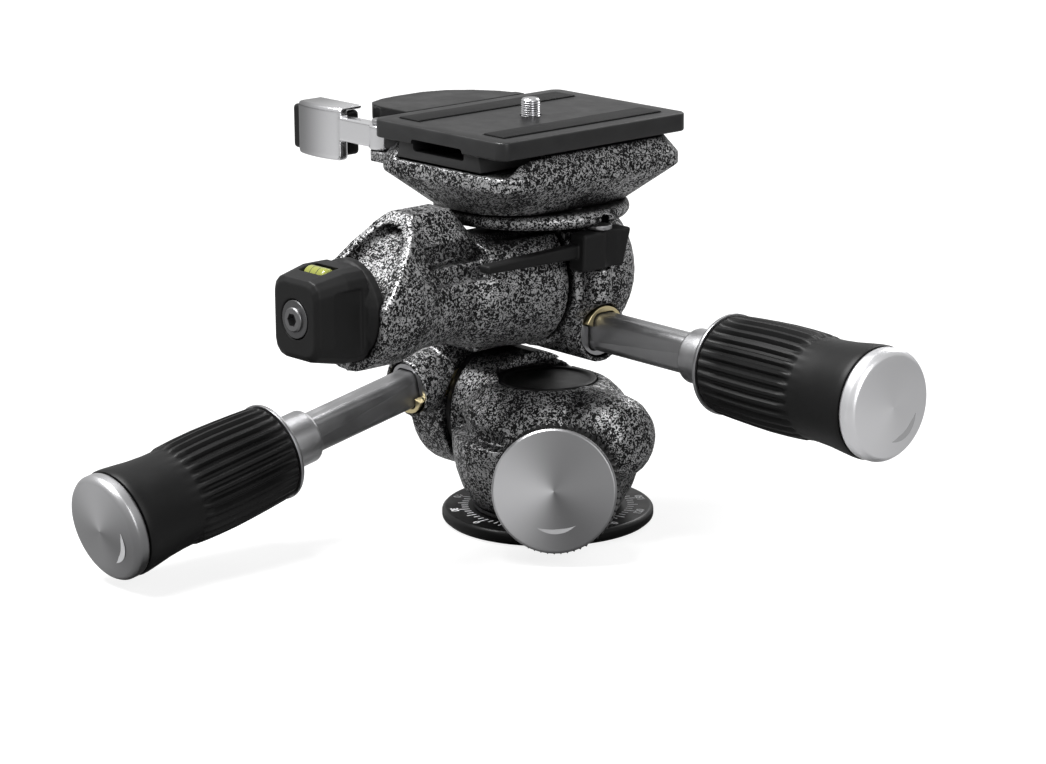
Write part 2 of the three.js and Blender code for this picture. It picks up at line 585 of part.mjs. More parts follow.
function makeYoke() {
  const y = yoke
  const cheek = solid(alongTilt(turned([
    [0, y.cheekOuter], [y.cheekRadius - y.cheekEdge, y.cheekOuter],
    [y.cheekRadius, y.cheekOuter + y.cheekEdge], [y.cheekRadius, y.cheekInner], [0, y.cheekInner],
  ], LARGE_FACETS)))
  const boss = solid(rod(handle.bossRadius, y.bossRear, 0).applyMatrix4(tiltSocketFrame()))
  const raw = barrelLoft(0)
  const pocket = barrelLoft(barrel.rim).intersect(frontOfFace(barrel.pocketDepth))
  const shaped = cut(raw, frontOfFace(0), pocket)
  const rollBody = shaped.rotate([QUARTER_TURN, 0, 0]).translate([0, 0, ROLL_RISE])

  // The web leans from the cheek to the underside of the barrel
  const low = y.webFoot
  const under = swing.clearRadius + 2 * GAP
  const web_outline = [
    new THREE.Vector2(y.cheekOuter, low), new THREE.Vector2(y.cheekOuter, y.cheekRadius),
    new THREE.Vector2(y.cheekInner, y.cheekRadius * y.webShoulder),
    new THREE.Vector2(GAP - barrel.sideFlat, ROLL_RISE - barrel.sideFlat / 2),
    new THREE.Vector2(0, ROLL_RISE - barrel.waistRadius), new THREE.Vector2(y.cheekInner / 2, under),
    new THREE.Vector2(y.cheekInner + GAP, under), new THREE.Vector2(y.cheekInner, low),
  ]
  const web = solid(slab(web_outline, y.webRear + GAP, y.webFront).rotateX(RIGHT_ANGLE))
  const body = join(cheek, boss, rollBody, web)

  const end = y.cheekInner
  const shaftBore = solid(alongTilt(rod(tiltShaft.drumRadius + GAP, y.nutSeat - OVERRUN,
    end + OVERRUN)))
  const nutSeat = solid(alongTilt(rod(y.coverRadius + GAP, y.cheekOuter - OVERRUN, y.nutSeat)))
  const sleeveBore = solid(alongRoll(rod(rollSleeve.radius + GAP, barrel.gapFace - OVERRUN,
    rollSleeve.end + GAP)).applyMatrix4(upToRoll))
  const rollBore = solid(alongRoll(rod(rollSleeve.bore, rollSleeve.end, barrel.frontFace + OVERRUN))
    .applyMatrix4(upToRoll))
  const ringRoom = solid(rod(barrel.ringClear, barrel.roof, barrel.ridge + OVERRUN, LARGE_FACETS)
    .translate(0, -PLATE_SHIFT, 0).applyMatrix4(upToRoll))
  const bracketRoom = solid(alongRoll(rod(bracket.radius + 2 * GAP, -2 * bracket.radius,
    barrel.gapFace)).applyMatrix4(upToRoll))
  const panRoom = solid(alongTilt(rod(swing.clearRadius + GAP, end, -end, LARGE_FACETS)))
  const casting = cut(body, shaftBore, nutSeat, sleeveBore, rollBore, ringRoom, bracketRoom,
    panRoom, ...socketCuts(tiltSocketFrame()))
  piece(yokeGroup, 'tilt_yoke', casting, HAMMERTONE)
}

function makeTiltPieces() {
  const s = tiltShaft
  const shaft = solid(alongTilt(turned([
    [0, s.studEnd], [s.studRadius, s.studEnd], [s.studRadius, s.drumOuter], [s.drumRadius, s.drumOuter],
    [s.drumRadius, s.drumInner], [s.radius, s.drumInner], [s.radius, s.inner], [0, s.inner],
  ])).translate(0, 0, TILT_HEIGHT))
  const hole = solid(rod(crossScrew.shankRadius + GAP, crossScrew.tip - GAP, pan.top, SMALL_FACETS))
  piece(panGroup, 'tilt_shaft', cut(shaft, hole), STEEL)

  const discStart = yoke.cheekInner + GAP
  piece(yokeGroup, 'tilt_friction_disc', alongTilt(tube(s.drumRadius + GAP, tiltDisc.outer,
    discStart, discStart + tiltDisc.thickness)), POLYMER)

  const nut = flangedNut(s.studRadius + GAP, tiltNut.radius, tiltNut.flangeRadius,
    tiltNut.flangeThickness, tiltNut.height)
  piece(panGroup, 'tilt_shaft_nut', nut.rotate([0, -QUARTER_TURN, 0])
    .translate([yoke.nutSeat - GAP, 0, TILT_HEIGHT]), STEEL)

  const outer = yoke.cheekOuter
  const inner = outer + yoke.coverThickness
  piece(yokeGroup, 'tilt_side_cover', alongTilt(turned([
    [0, inner], [yoke.coverRadius, inner], [yoke.coverRadius, outer],
    [yoke.coverRadius - yoke.coverThickness, outer],
    [yoke.coverRadius - 2 * yoke.coverThickness, outer + yoke.coverDish],
    [0, outer + yoke.coverDish],
  ], LARGE_FACETS)), BLACK_PLASTIC)
}

// Roll sleeve, shaft and the bracket that turns on them
const bracket = {
  radius: 21, front: 7.7, rear: 19, edge: 0.8, ringRadius: 27.2, ringLow: 16.8, ringHigh: 20.8,
  ringEdge: 1.2, coverSeat: 3.8, coverRadius: 12, coverThickness: 1.2, shaftWall: 13,
}
const bracket_rear_shares = [[0.95, 0.76], [0.83, 0.92], [0.66, 1], [0, 1]]
const rollSocket = { x: 18.3, forward: -4, rise: -15.4, slope: 0.01 }
const rollShaft = { radius: 6, rear: 17.6, front: 69.4, tapRadius: 2.7, tapDepth: 9, neckRadius: 4 }
const rollNut = { radius: 7.4, flangeRadius: 11.6, flangeThickness: 0.7, height: 2 }
const rollDisc = { inner: 10.4, outer: 14.3, thickness: 1 }
const platformScrew = { radius: 2.2, headRadius: 4, headHeight: 1.7, across: 17.5, reach: 7 }

function rollSocketFrame() {
  const frame = new THREE.Matrix4().makeRotationY(RIGHT_ANGLE + rollSocket.slope)
  frame.multiply(new THREE.Matrix4().makeRotationZ(-RIGHT_ANGLE))
  return frame.setPosition(rollSocket.x, -rollSocket.forward, rollSocket.rise)
}

function ringPlace(geometry) {
  return geometry.translate(0, -PLATE_SHIFT, 0)
}

const leverPost = { x: 25, forward: 3, radius: 3.4, low: -5, top: 16.5 }

function makeBracket() {
  const b = bracket
  const tail = scaled(bracket_rear_shares, b.radius, -b.rear)
  const drum = solid(alongRoll(turned([
    [0, b.front], [b.radius - b.edge, b.front], [b.radius, b.front - b.edge],
    [b.radius, -b.rear / 2], ...tail,
  ], LARGE_FACETS)))
  const boss = solid(rod(handle.bossRadius, handle.cotterStart - OVERRUN / 2, 0)
    .applyMatrix4(rollSocketFrame()))
  const neckRing = solid(ringPlace(turned([
    [0, b.ringLow], [b.ringRadius - b.ringEdge, b.ringLow], [b.ringRadius, b.ringLow + b.ringEdge],
    [b.ringRadius, b.ringHigh - b.ringEdge], [b.ringRadius - b.ringEdge, b.ringHigh], [0, b.ringHigh],
  ], LARGE_FACETS)))
  const postTop = leverPost.top - leverArm.height - GAP
  const post = solid(rod(leverPost.radius, leverPost.low, postTop, SMALL_FACETS)
    .translate(leverPost.x, -leverPost.forward, 0))
  const lug = solid(new THREE.BoxGeometry(b.radius / 2, 2 * leverPost.radius, postTop - leverPost.low)
    .translate(leverPost.x - b.radius / 4, -leverPost.forward, (postTop + leverPost.low) / 2))
  const body = join(drum, boss, neckRing, post, lug)
  const sleeveBore = solid(alongRoll(rod(rollSleeve.radius + GAP, rollSleeve.start - GAP,
    b.front + OVERRUN)))
  const shaftBore = solid(alongRoll(rod(rollShaft.radius + GAP, -b.rear, b.front)))
  const coverSeat = solid(alongRoll(rod(b.coverRadius + GAP, -b.rear - OVERRUN,
    -b.rear + b.coverSeat)))
  const screwCuts = [-1, 1].flatMap((side) => [
    solid(ringPlace(rod(platformScrew.radius + GAP, b.ringLow - OVERRUN, b.ringHigh + OVERRUN, SMALL_FACETS)
      .translate(side * platformScrew.across, 0, 0))),
    solid(ringPlace(rod(platformScrew.headRadius + GAP, b.ringLow - OVERRUN,
      b.ringLow + platformScrew.headHeight + 2 * GAP, SMALL_FACETS).translate(side * platformScrew.across, 0, 0))),
  ])
  const pivotHole = solid(rod(leverArm.screwRadius + GAP, leverPost.low, leverPost.top + OVERRUN, SMALL_FACETS)
    .translate(leverPost.x, -leverPost.forward, 0))
  const casting = cut(body, sleeveBore, shaftBore, coverSeat, pivotHole, ...screwCuts,
    ...socketCuts(rollSocketFrame()))
  piece(rollGroup, 'roll_bracket', casting, HAMMERTONE)
}

function makeRollPieces() {
  const b = bracket
  const s = rollSleeve
  piece(yokeGroup, 'roll_sleeve', alongRoll(tube(s.bore, s.radius, s.start, s.end))
    .applyMatrix4(upToRoll), STEEL)
  const discStart = b.front + GAP
  piece(yokeGroup, 'roll_friction_disc', alongRoll(tube(rollDisc.inner, rollDisc.outer, discStart,
    discStart + rollDisc.thickness)).applyMatrix4(upToRoll), POLYMER)

  const r = rollShaft
  const seat = -b.rear + b.coverSeat
  piece(rollGroup, 'roll_shaft', alongRoll(turned([
    [0, -r.rear], [r.neckRadius, -r.rear], [r.neckRadius, seat], [r.radius, seat],
    [r.radius, r.front], [r.tapRadius, r.front], [r.tapRadius, r.front - r.tapDepth],
    [0, r.front - r.tapDepth],
  ])), STEEL)
  const nut = flangedNut(r.neckRadius + GAP, rollNut.radius, rollNut.flangeRadius,
    rollNut.flangeThickness, rollNut.height)
  piece(rollGroup, 'roll_shaft_nut', nut.rotate([-QUARTER_TURN, 0, 0])
    .translate([0, GAP - seat, 0]), STEEL)
  const outer = -b.rear
  const inner = outer + b.coverThickness
  piece(rollGroup, 'roll_rear_cover', alongRoll(turned([
    [0, inner], [b.coverRadius, inner], [b.coverRadius, outer],
    [b.coverRadius - b.coverThickness, outer], [b.coverRadius - 2 * b.coverThickness,
      outer + b.coverThickness / 2], [0, outer + b.coverThickness / 2],
  ], LARGE_FACETS)), BLACK_PLASTIC)

  for (const [index, side] of [-1, 1].entries()) {
    const p = platformScrew
    const under = b.ringLow + GAP
    const screw = piece(rollGroup, `platform_screw_${index + 1}`, turned([
      [0, under], [p.headRadius, under], [p.headRadius, under + p.headHeight],
      [p.radius, under + p.headHeight], [p.radius, b.ringHigh + p.reach], [0, b.ringHigh + p.reach],
    ], SMALL_FACETS), STEEL)
    screw.position.set(side * p.across, -PLATE_SHIFT, 0)
  }
}

// Drag lever: a small faceted lever on a post beside the gap, with an arm along the barrel
const leverArm = {
  height: 11.6, halfWidth: 3.4, front: 17, rear: 9, armReach: 43, armHalf: 2.4, armHeight: 3.4,
  armDrop: 5, screwRadius: 2, screwHead: 3.4, screwHeadHeight: 1.2, screwTip: -1, outward: 0.17,
}

function makeDragLever() {
  const a = leverArm
  const group = new THREE.Group()
  group.position.set(leverPost.x, -leverPost.forward, leverPost.top)
  rollGroup.add(group)
  const w = a.halfWidth
  const body_outline = [
    new THREE.Vector2(-w, -a.front * 0.8), new THREE.Vector2(-w * 0.2, -a.front),
    new THREE.Vector2(w, -a.front * 0.6), new THREE.Vector2(w, a.rear * 0.7),
    new THREE.Vector2(w * 0.2, a.rear), new THREE.Vector2(-w * 0.2, a.rear),
    new THREE.Vector2(-w, a.rear * 0.2),
  ]
  const block = solid(slab(body_outline, -a.height, 0))
  const arm_outline = [
    new THREE.Vector2(-a.armHalf, 0), new THREE.Vector2(-a.armHalf / 2, -a.armReach),
    new THREE.Vector2(a.armHalf / 2, -a.armReach), new THREE.Vector2(w * 0.8, -a.front / 2),
    new THREE.Vector2(w * 0.8, 0),
  ]
  const arm = solid(slab(arm_outline, -a.armDrop - a.armHeight / 2, -a.armDrop + a.armHeight / 2))
  const hole = solid(rod(a.screwRadius + GAP, -a.height - OVERRUN, OVERRUN, SMALL_FACETS))
  const seat = solid(rod(a.screwHead + GAP, -a.screwHeadHeight, OVERRUN, SMALL_FACETS))
  piece(group, 'drag_lever', cut(join(block, arm), hole, seat), BLACK_PAINT)
  const under = -a.screwHeadHeight + GAP
  piece(group, 'drag_lever_screw', turned([
    [0, a.screwTip - leverPost.top], [a.screwRadius, a.screwTip - leverPost.top],
    [a.screwRadius, under], [a.screwHead, under], [a.screwHead, under + a.screwHeadHeight],
    [0, under + a.screwHeadHeight],
  ], SMALL_FACETS), TURNED_METAL)
}

// Level housing on the front end of the roll shaft
const level = {
  back: 69.8, front: 89.6, flangeRadius: 13.7, flangeLength: 4.5, halfWidth: 11, halfHeight: 12.8,
  nose: 0.86, bodyShare: 0.75, corner: 5, boreRadius: 2.7, washerRadius: 5.2, washerThickness: 1, washerSeat: 1.2,
  screwRadius: 2.3, screwHead: 3.4, screwHeadHeight: 2.6, hexRadius: 1.7, hexDepth: 1.5,
  vialRadius: 3.1, vialHalf: 4.6, vialAt: 81, vialSink: 1.9, screwTip: 62.5,
}

function makeLevel() {
  const v = level
  const outline = (scale, along) => roundedRectangle(v.halfWidth * scale, v.halfHeight * scale,
    v.corner * scale, 3).map((corner) => new THREE.Vector3(corner.x, corner.y, along))
  const body = solid(lofted([
    outline(1, v.back + v.flangeLength * v.bodyShare), outline(1, (v.back + v.front) / 2),
    outline(v.nose, v.front - v.washerThickness), outline(v.nose * v.nose, v.front),
  ]))
  const flange = solid(turned([
    [0, v.back], [v.flangeRadius, v.back], [v.flangeRadius, v.back + v.flangeLength / 2],
    [v.flangeRadius * v.nose, v.back + v.flangeLength], [0, v.back + v.flangeLength],
  ], LARGE_FACETS))
  const bore = solid(rod(v.boreRadius, v.back - OVERRUN, v.front + OVERRUN, SMALL_FACETS))
  const washerSeat = solid(rod(v.washerRadius + GAP, v.front - v.washerSeat, v.front + OVERRUN, FACETS))
  const vialBed = solid(alongTilt(rod(v.vialRadius + GAP, -v.vialHalf - GAP, v.vialHalf + GAP, SMALL_FACETS))
    .translate(0, v.halfHeight - v.vialSink, v.vialAt))
  const housing = cut(join(body, flange), bore, washerSeat, vialBed)
  piece(rollGroup, 'level_housing', housing.rotate([QUARTER_TURN, 0, 0]), BLACK_PAINT)

  const vialLift = v.halfHeight - v.vialSink
  const bullet_shares = [[0, -1], [0.75, -0.97], [1, -0.86], [1, 0.86], [0.75, 0.97], [0, 1]]
  piece(rollGroup, 'level_vial', alongTilt(turned(scaled(bullet_shares, v.vialRadius, v.vialHalf), SMALL_FACETS))
    .translate(0, -v.vialAt, vialLift), VIAL_FLUID)

  const washerBack = v.front - v.washerSeat + GAP
  piece(rollGroup, 'level_washer', alongRoll(tube(v.boreRadius + GAP, v.washerRadius, washerBack,
    washerBack + v.washerThickness, FACETS)), STEEL)
  const under = washerBack + v.washerThickness + GAP / 2
  const screw = solid(turned([
    [0, v.screwTip], [v.screwRadius, v.screwTip], [v.screwRadius, under], [v.screwHead, under],
    [v.screwHead, under + v.screwHeadHeight], [0, under + v.screwHeadHeight],
  ], SMALL_FACETS))
  const socket = solid(rod(v.hexRadius, under + v.screwHeadHeight - v.hexDepth,
    under + v.screwHeadHeight + OVERRUN, 6))
  piece(rollGroup, 'level_screw', cut(screw, socket).rotate([QUARTER_TURN, 0, 0]), STEEL)
}

// Quick release clamp: a boat-shaped casting with a dovetail channel, a jaw and a lever
const clamp = {
  low: bracket.ringHigh + GAP, wideLow: 30, wideHigh: 33.2, top: 38.2, halfWidth: 28,
  halfLength: 34.6, corner: 9, floor: 33.6, footHalf: 21, footLength: 27.5, topInset: 3,
  railAngle: 0.5,
}
const dovetail = { topHalf: 16.2, footHalf: 17.6, depth: 4.4, flangeThickness: 5.4 }
const plate = {
  halfWidth: 27, halfLength: 34.4, corner: 3.5, edge: 0.8, slotHalf: 10.5,
  slotHeight: 3.4, slotDepth: 14, slotLow: 2, screwRadius: 2.7, screwRise: 4.8, headRadius: 8.2,
  headHeight: 2.6, headSink: 0.6, coinSlot: 1.6, padHalf: 4.2, padAt: 17.5, padHalfLength: 29,
  padDepth: 1, padThickness: 1.1,
}
// A lobe beside the plate, level with its top, on a low wall that stands on the hull
const lobe = { inner: -27.5, width: 22.5, front: 27, length: 44, thickness: 4.6, wall: 4, seat: -24 }
const lobe_shares = [
  [0, 0], [0.5, 0], [0.7, 0.02], [0.86, 0.08], [0.96, 0.2], [1, 0.36], [0.99, 0.56], [0.88, 0.72],
  [0.66, 0.85], [0.36, 0.95], [0, 1],
]
const jaw = { outer: -23, rear: -24, front: 35.6, noseHalf: 3, wall: 1 }
const clampLever = {
  pivotX: -32.4, pivotForward: 31.6, pivotRadius: 1.6, hubRadius: 3.9, reach: 37.5, halfHeight: 7.6,
  neckHalf: 3.4, neckThickness: 3.8, padHalf: 10.6, padThickness: 4, padCorner: 3, lift: 37.1,
  padDrop: 1.5, insertShare: 0.86, insertThickness: 4, insertShift: 2.2, earThickness: 3, earRadius: 3.6,
  screwHead: 3, screwHeadHeight: 1.2,
}

function clampRing(halfWidth, halfLength, corner, height) {
  return roundedRectangle(halfWidth, halfLength, corner, 4)
    .map((point) => new THREE.Vector3(point.x, point.y - PLATE_SHIFT, height))
}

// The flanks of the dovetail, cut off at two heights and set off by a clearance
function dovetailOutline(spare, top, foot) {
  const d = dovetail
  const neckHeight = PLATE_RISE - d.flangeThickness
  const halfAt = (height) => spare + d.topHalf
    + (d.footHalf - d.topHalf) * (neckHeight - height) / d.depth
  const [high, low] = [halfAt(top), halfAt(foot)]
  return [[high, top], [-high, top], [-low, foot], [low, foot]]
    .map(([across, height]) => new THREE.Vector2(across, height))
}

function makeClamp() {
  const c = clamp
  const flangeLow = PLATE_RISE - dovetail.flangeThickness
  const foot = flangeLow - dovetail.depth
  const boat = solid(lofted([
    clampRing(c.footHalf, c.footLength, c.corner * 2, c.low),
    clampRing(c.halfWidth, c.halfLength, c.corner, c.wideLow),
    clampRing(c.halfWidth, c.halfLength, c.corner, c.wideHigh),
    clampRing(c.halfWidth - c.topInset, c.halfLength - c.topInset, c.corner, c.top),
  ]))
  const run = 2 * c.halfLength
  const channel = solid(slab(dovetailOutline(GAP, flangeLow + OVERRUN, foot - GAP), -run, run)
    .rotateX(RIGHT_ANGLE))
  const jawEnd = jaw.outer - 2 * GAP
  const jawLength = jaw.front - jaw.rear + 2 * GAP
  const jawMiddle = -(jaw.front + jaw.rear) / 2
  const jawRoom = solid(new THREE.BoxGeometry(-dovetail.topHalf - jawEnd + OVERRUN, jawLength, c.top)
    .translate((jawEnd - dovetail.topHalf + OVERRUN) / 2, jawMiddle, foot - GAP + c.top / 2))
  const l = clampLever
  const earTop = -l.neckHalf - GAP
  const earRound = solid(rod(l.earRadius, earTop - l.earThickness, earTop, SMALL_FACETS))
  const earArm = solid(new THREE.BoxGeometry(-l.pivotX - c.footHalf, 2 * l.earRadius, l.earThickness)
    .translate((-l.pivotX - c.footHalf) / 2, 0, earTop - l.earThickness / 2))
  const ear = join(earRound, earArm).translate([l.pivotX, -l.pivotForward, l.lift])
  const hubRoom = solid(rod(l.hubRadius + GAP, earTop, c.top, FACETS)
    .translate(l.pivotX, -l.pivotForward, l.lift))
  const noseMiddle = (foot + c.top) / 2
  const noseHeight = c.top - foot - jaw.wall
  const noseRoom = solid(new THREE.BoxGeometry(-l.pivotX + jaw.outer, 2 * (jaw.noseHalf + GAP),
    noseHeight + 2 * GAP).translate((l.pivotX + jaw.outer) / 2, -l.pivotForward, noseMiddle))
  const pinHole = solid(rod(l.pivotRadius + GAP, -c.top, c.top, SMALL_FACETS)
    .translate(l.pivotX, -l.pivotForward, l.lift))
  const screwHoles = [-1, 1].map((side) => solid(ringPlace(rod(platformScrew.radius + GAP,
    c.low - OVERRUN, c.low + platformScrew.reach + GAP, SMALL_FACETS)
    .translate(side * platformScrew.across, 0, 0))))
  const lobe_outline = lobe_shares.map(([out, back]) => new THREE.Vector2(
    lobe.inner - out * lobe.width, back * lobe.length - lobe.front))
  const lobeTop = solid(slab(lobe_outline, PLATE_RISE - lobe.thickness, PLATE_RISE))
  const wallOuter = lobe.inner - lobe.wall
  const lobeMiddle = lobe.length / 2 - lobe.front
  const wall = solid(new THREE.BoxGeometry(lobe.wall, lobe.length, PLATE_RISE - c.wideHigh)
    .translate(lobe.inner - lobe.wall / 2, lobeMiddle, (PLATE_RISE + c.wideHigh) / 2))
  const wallFoot = solid(new THREE.BoxGeometry(lobe.seat - wallOuter, lobe.length,
    c.top - c.wideLow - GAP).translate((lobe.seat + wallOuter) / 2, lobeMiddle,
    (c.top + c.wideLow + GAP) / 2))
  const casting = join(cut(boat, channel, jawRoom, ...screwHoles), ear, lobeTop, wall, wallFoot)
  piece(rollGroup, 'clamp_platform', cut(casting, hubRoom, noseRoom, pinHole), HAMMERTONE)

  const inner = dovetailOutline(GAP, c.top, foot)
  const jaw_outline = [inner[1], inner[2], new THREE.Vector2(jaw.outer, foot),
    new THREE.Vector2(jaw.outer, c.top)]
  const bar = solid(slab(jaw_outline, jaw.rear, jaw.front).rotateX(RIGHT_ANGLE))
  const noseEnd = l.pivotX + l.hubRadius + GAP
  const nose = solid(new THREE.BoxGeometry(jaw.outer - noseEnd + jaw.wall, 2 * jaw.noseHalf,
    noseHeight).translate((jaw.outer + jaw.wall + noseEnd) / 2, -l.pivotForward, noseMiddle))
  piece(rollGroup, 'clamp_jaw', join(bar, nose), BLACK_PAINT)
}

// Clamp lever: a flat paddle on a hub, whose cam presses the nose of the jaw
function makeClampLever() {
  const l = clampLever
  const group = new THREE.Group()
  group.position.set(l.pivotX, -l.pivotForward, l.lift)
  rollGroup.add(group)
  const paddle_outline = roundedRectangle(l.padHalf, l.halfHeight, l.padCorner)
  const paddle = solid(slab(paddle_outline, -l.padThickness / 2, l.padThickness / 2)
    .rotateX(RIGHT_ANGLE).translate(l.padHalf - l.reach, 0, -l.padDrop))
  const neckLength = l.reach - l.padHalf
  const neck = solid(new THREE.BoxGeometry(neckLength, l.neckThickness, 2 * l.neckHalf)
    .translate(-neckLength / 2, 0, 0))
  const hub = solid(rod(l.hubRadius, -l.neckHalf, l.neckHalf, FACETS))
  const hole = solid(rod(l.pivotRadius + GAP, -l.halfHeight, l.halfHeight, SMALL_FACETS))
  piece(group, 'clamp_lever', cut(join(paddle, neck, hub), hole), TURNED_METAL)
  const insertBack = l.padThickness / 2 + GAP / 2
  piece(group, 'clamp_lever_pad', slab(roundedRectangle(l.padHalf * l.insertShare,
    l.halfHeight * l.insertShare, l.padCorner), insertBack, insertBack + l.insertThickness)
    .rotateX(-RIGHT_ANGLE).translate(l.padHalf - l.reach - l.insertShift, 0, -l.padDrop), BLACK_PLASTIC)
  const foot = -l.neckHalf - GAP - l.earThickness
  const under = l.neckHalf + GAP
  piece(rollGroup, 'clamp_pivot', turned([
    [0, foot], [l.pivotRadius, foot], [l.pivotRadius, under], [l.screwHead, under],
    [l.screwHead, under + l.screwHeadHeight], [0, under + l.screwHeadHeight],
  ], SMALL_FACETS).translate(l.pivotX, -l.pivotForward, l.lift), STEEL)
}

// Camera plate: a flange on a dovetail foot, with rubber strips and a camera screw
function makePlate() {
  const p = plate
  const group = new THREE.Group()
  rollGroup.add(group)
  const low = PLATE_RISE - dovetail.flangeThickness + GAP
  const edge = p.edge
  const flangeRing = (inset, height) => clampRing(p.halfWidth - inset, p.halfLength - inset,
    p.corner, height)
  const flange = solid(lofted([
    flangeRing(edge, low), flangeRing(0, low + edge), flangeRing(0, PLATE_RISE - edge),
    flangeRing(edge, PLATE_RISE),
  ]))
  const footOutline = dovetailOutline(0, low + OVERRUN / 2, low - dovetail.depth)
  const foot = solid(slab(footOutline, PLATE_SHIFT - p.halfLength + edge,
    PLATE_SHIFT + p.halfLength - edge).rotateX(RIGHT_ANGLE))
  const slotMiddle = low - p.slotLow + p.slotHeight / 2
  const slot = solid(new THREE.BoxGeometry(2 * p.slotHalf, 2 * p.slotDepth, p.slotHeight)
    .translate(0, -PLATE_SHIFT - p.halfLength, slotMiddle))
  const padCuts = [-1, 1].map((side) => solid(new THREE.BoxGeometry(
    2 * (p.padHalf + GAP), 2 * (p.padHalfLength + GAP), 2 * p.padDepth)
    .translate(side * p.padAt, -PLATE_SHIFT, PLATE_RISE)))
  const screwHole = solid(ringPlace(rod(p.screwRadius + GAP, low - dovetail.depth - OVERRUN,
    PLATE_RISE + OVERRUN, SMALL_FACETS)))
  const headSeat = solid(ringPlace(rod(p.headRadius + GAP, low - dovetail.depth - OVERRUN,
    low - dovetail.depth + p.headHeight + p.headSink + GAP, FACETS)))
  piece(group, 'camera_plate', cut(join(flange, foot), slot, screwHole, headSeat, ...padCuts),
    BLACK_PAINT)
  for (const [index, side] of [-1, 1].entries()) {
    const strip = new THREE.BoxGeometry(2 * p.padHalf, 2 * p.padHalfLength, p.padThickness)
    piece(group, `plate_strip_${index + 1}`, strip.translate(side * p.padAt, -PLATE_SHIFT,
      PLATE_RISE - p.padDepth + GAP + p.padThickness / 2), RUBBER)
  }
  const screwGroup = new THREE.Group()
  screwGroup.position.set(0, -PLATE_SHIFT, PLATE_RISE)
  group.add(screwGroup)
  const headLow = low - dovetail.depth + p.headSink - PLATE_RISE
  const headHigh = headLow + p.headHeight
  const screw = solid(turned([
    [0, headLow], [p.headRadius, headLow], [p.headRadius, headHigh], [p.screwRadius, headHigh],
    [p.screwRadius, p.screwRise - edge], [p.screwRadius - edge, p.screwRise], [0, p.screwRise],
  ], FACETS))
  const coinSlot = solid(new THREE.BoxGeometry(2 * p.headRadius + OVERRUN, p.coinSlot, p.coinSlot)
    .translate(0, 0, headLow))
  piece(screwGroup, 'camera_screw', cut(screw, coinSlot), STEEL)
}

makeBase()
makePanHousing()
makePanSmallPieces()
makePanKnob()
makeYoke()
makeTiltPieces()
makeHandle(yokeGroup, 'tilt', tiltSocketFrame(), tiltNotch())
makeBracket()
makeRollPieces()
makeHandle(rollGroup, 'roll', rollSocketFrame(), rollNotch())
makeDragLever()
makeLevel()
makeClamp()
makeClampLever()
makePlate()

export default head
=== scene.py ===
import json
import math

import bmesh
import bpy
from mathutils import Matrix, Vector


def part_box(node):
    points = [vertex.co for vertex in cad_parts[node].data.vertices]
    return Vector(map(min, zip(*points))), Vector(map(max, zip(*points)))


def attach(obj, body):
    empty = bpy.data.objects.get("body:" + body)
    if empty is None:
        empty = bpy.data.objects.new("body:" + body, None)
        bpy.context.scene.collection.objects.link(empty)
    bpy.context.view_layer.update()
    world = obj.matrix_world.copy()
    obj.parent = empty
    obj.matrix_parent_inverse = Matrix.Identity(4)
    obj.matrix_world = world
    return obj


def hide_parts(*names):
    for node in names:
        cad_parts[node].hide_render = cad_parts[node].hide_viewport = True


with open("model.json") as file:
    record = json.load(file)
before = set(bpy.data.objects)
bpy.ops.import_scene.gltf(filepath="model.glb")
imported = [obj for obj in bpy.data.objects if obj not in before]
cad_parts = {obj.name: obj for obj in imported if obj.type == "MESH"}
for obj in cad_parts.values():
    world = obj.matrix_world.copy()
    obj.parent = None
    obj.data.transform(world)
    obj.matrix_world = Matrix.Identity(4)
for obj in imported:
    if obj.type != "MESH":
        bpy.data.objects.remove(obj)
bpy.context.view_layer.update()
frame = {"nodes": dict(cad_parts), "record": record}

# The view: the head stands on a pale table and is seen from its front right, a little from above,
# through a long lens. In every section a length is metres, written as millimetres times mm, but
# outlines, corners and places that a helper scales are plain millimetres.
nodes = frame["nodes"]
mm = 0.001

VIEW_TURN = math.radians(48.13)
VIEW_LIFT = math.radians(14.45)
VIEW_ROLL = math.radians(-0.4)
VIEW_DISTANCE = 1000 * mm
VIEW_LENS = 122.3
VIEW_SIDESTEP = -6.78 * mm
VIEW_HEIGHT = 39.7 * mm

lens_data = bpy.data.cameras.new("camera")
lens_data.lens = VIEW_LENS
lens_data.sensor_width = 36
lens_data.clip_start = 0.05
camera = bpy.data.objects.new("camera", lens_data)
bpy.context.scene.collection.objects.link(camera)
looked_at = Vector((math.cos(VIEW_TURN), math.sin(VIEW_TURN), 0)) * VIEW_SIDESTEP
looked_at.z = VIEW_HEIGHT
towards_lens = Vector((math.sin(VIEW_TURN) * math.cos(VIEW_LIFT),
                       -math.cos(VIEW_TURN) * math.cos(VIEW_LIFT), math.sin(VIEW_LIFT)))
camera.location = looked_at + towards_lens * VIEW_DISTANCE
camera.rotation_mode = "QUATERNION"
camera.rotation_quaternion = (towards_lens.to_track_quat("Z", "Y")
                              @ Matrix.Rotation(VIEW_ROLL, 4, "Z").to_quaternion())
bpy.context.scene.camera = camera
bpy.context.scene.view_settings.view_transform = "Standard"


# The table: a wide pale sheet, grey to the light, so that little is thrown back under the head,
# and white to the lens, with the head's soft shadow on it.
FLOOR_SIZE = 9
FLOOR_COLOUR = (0.26, 0.26, 0.26, 1)
FLOOR_GLOW = 0.84


def nodes_of(name):
    """A material, its nodes, its links and its surface shader."""
    material = bpy.data.materials.new(name)
    material.use_nodes = True
    tree = material.node_tree
    return material, tree.nodes, tree.links, tree.nodes["Principled BSDF"]


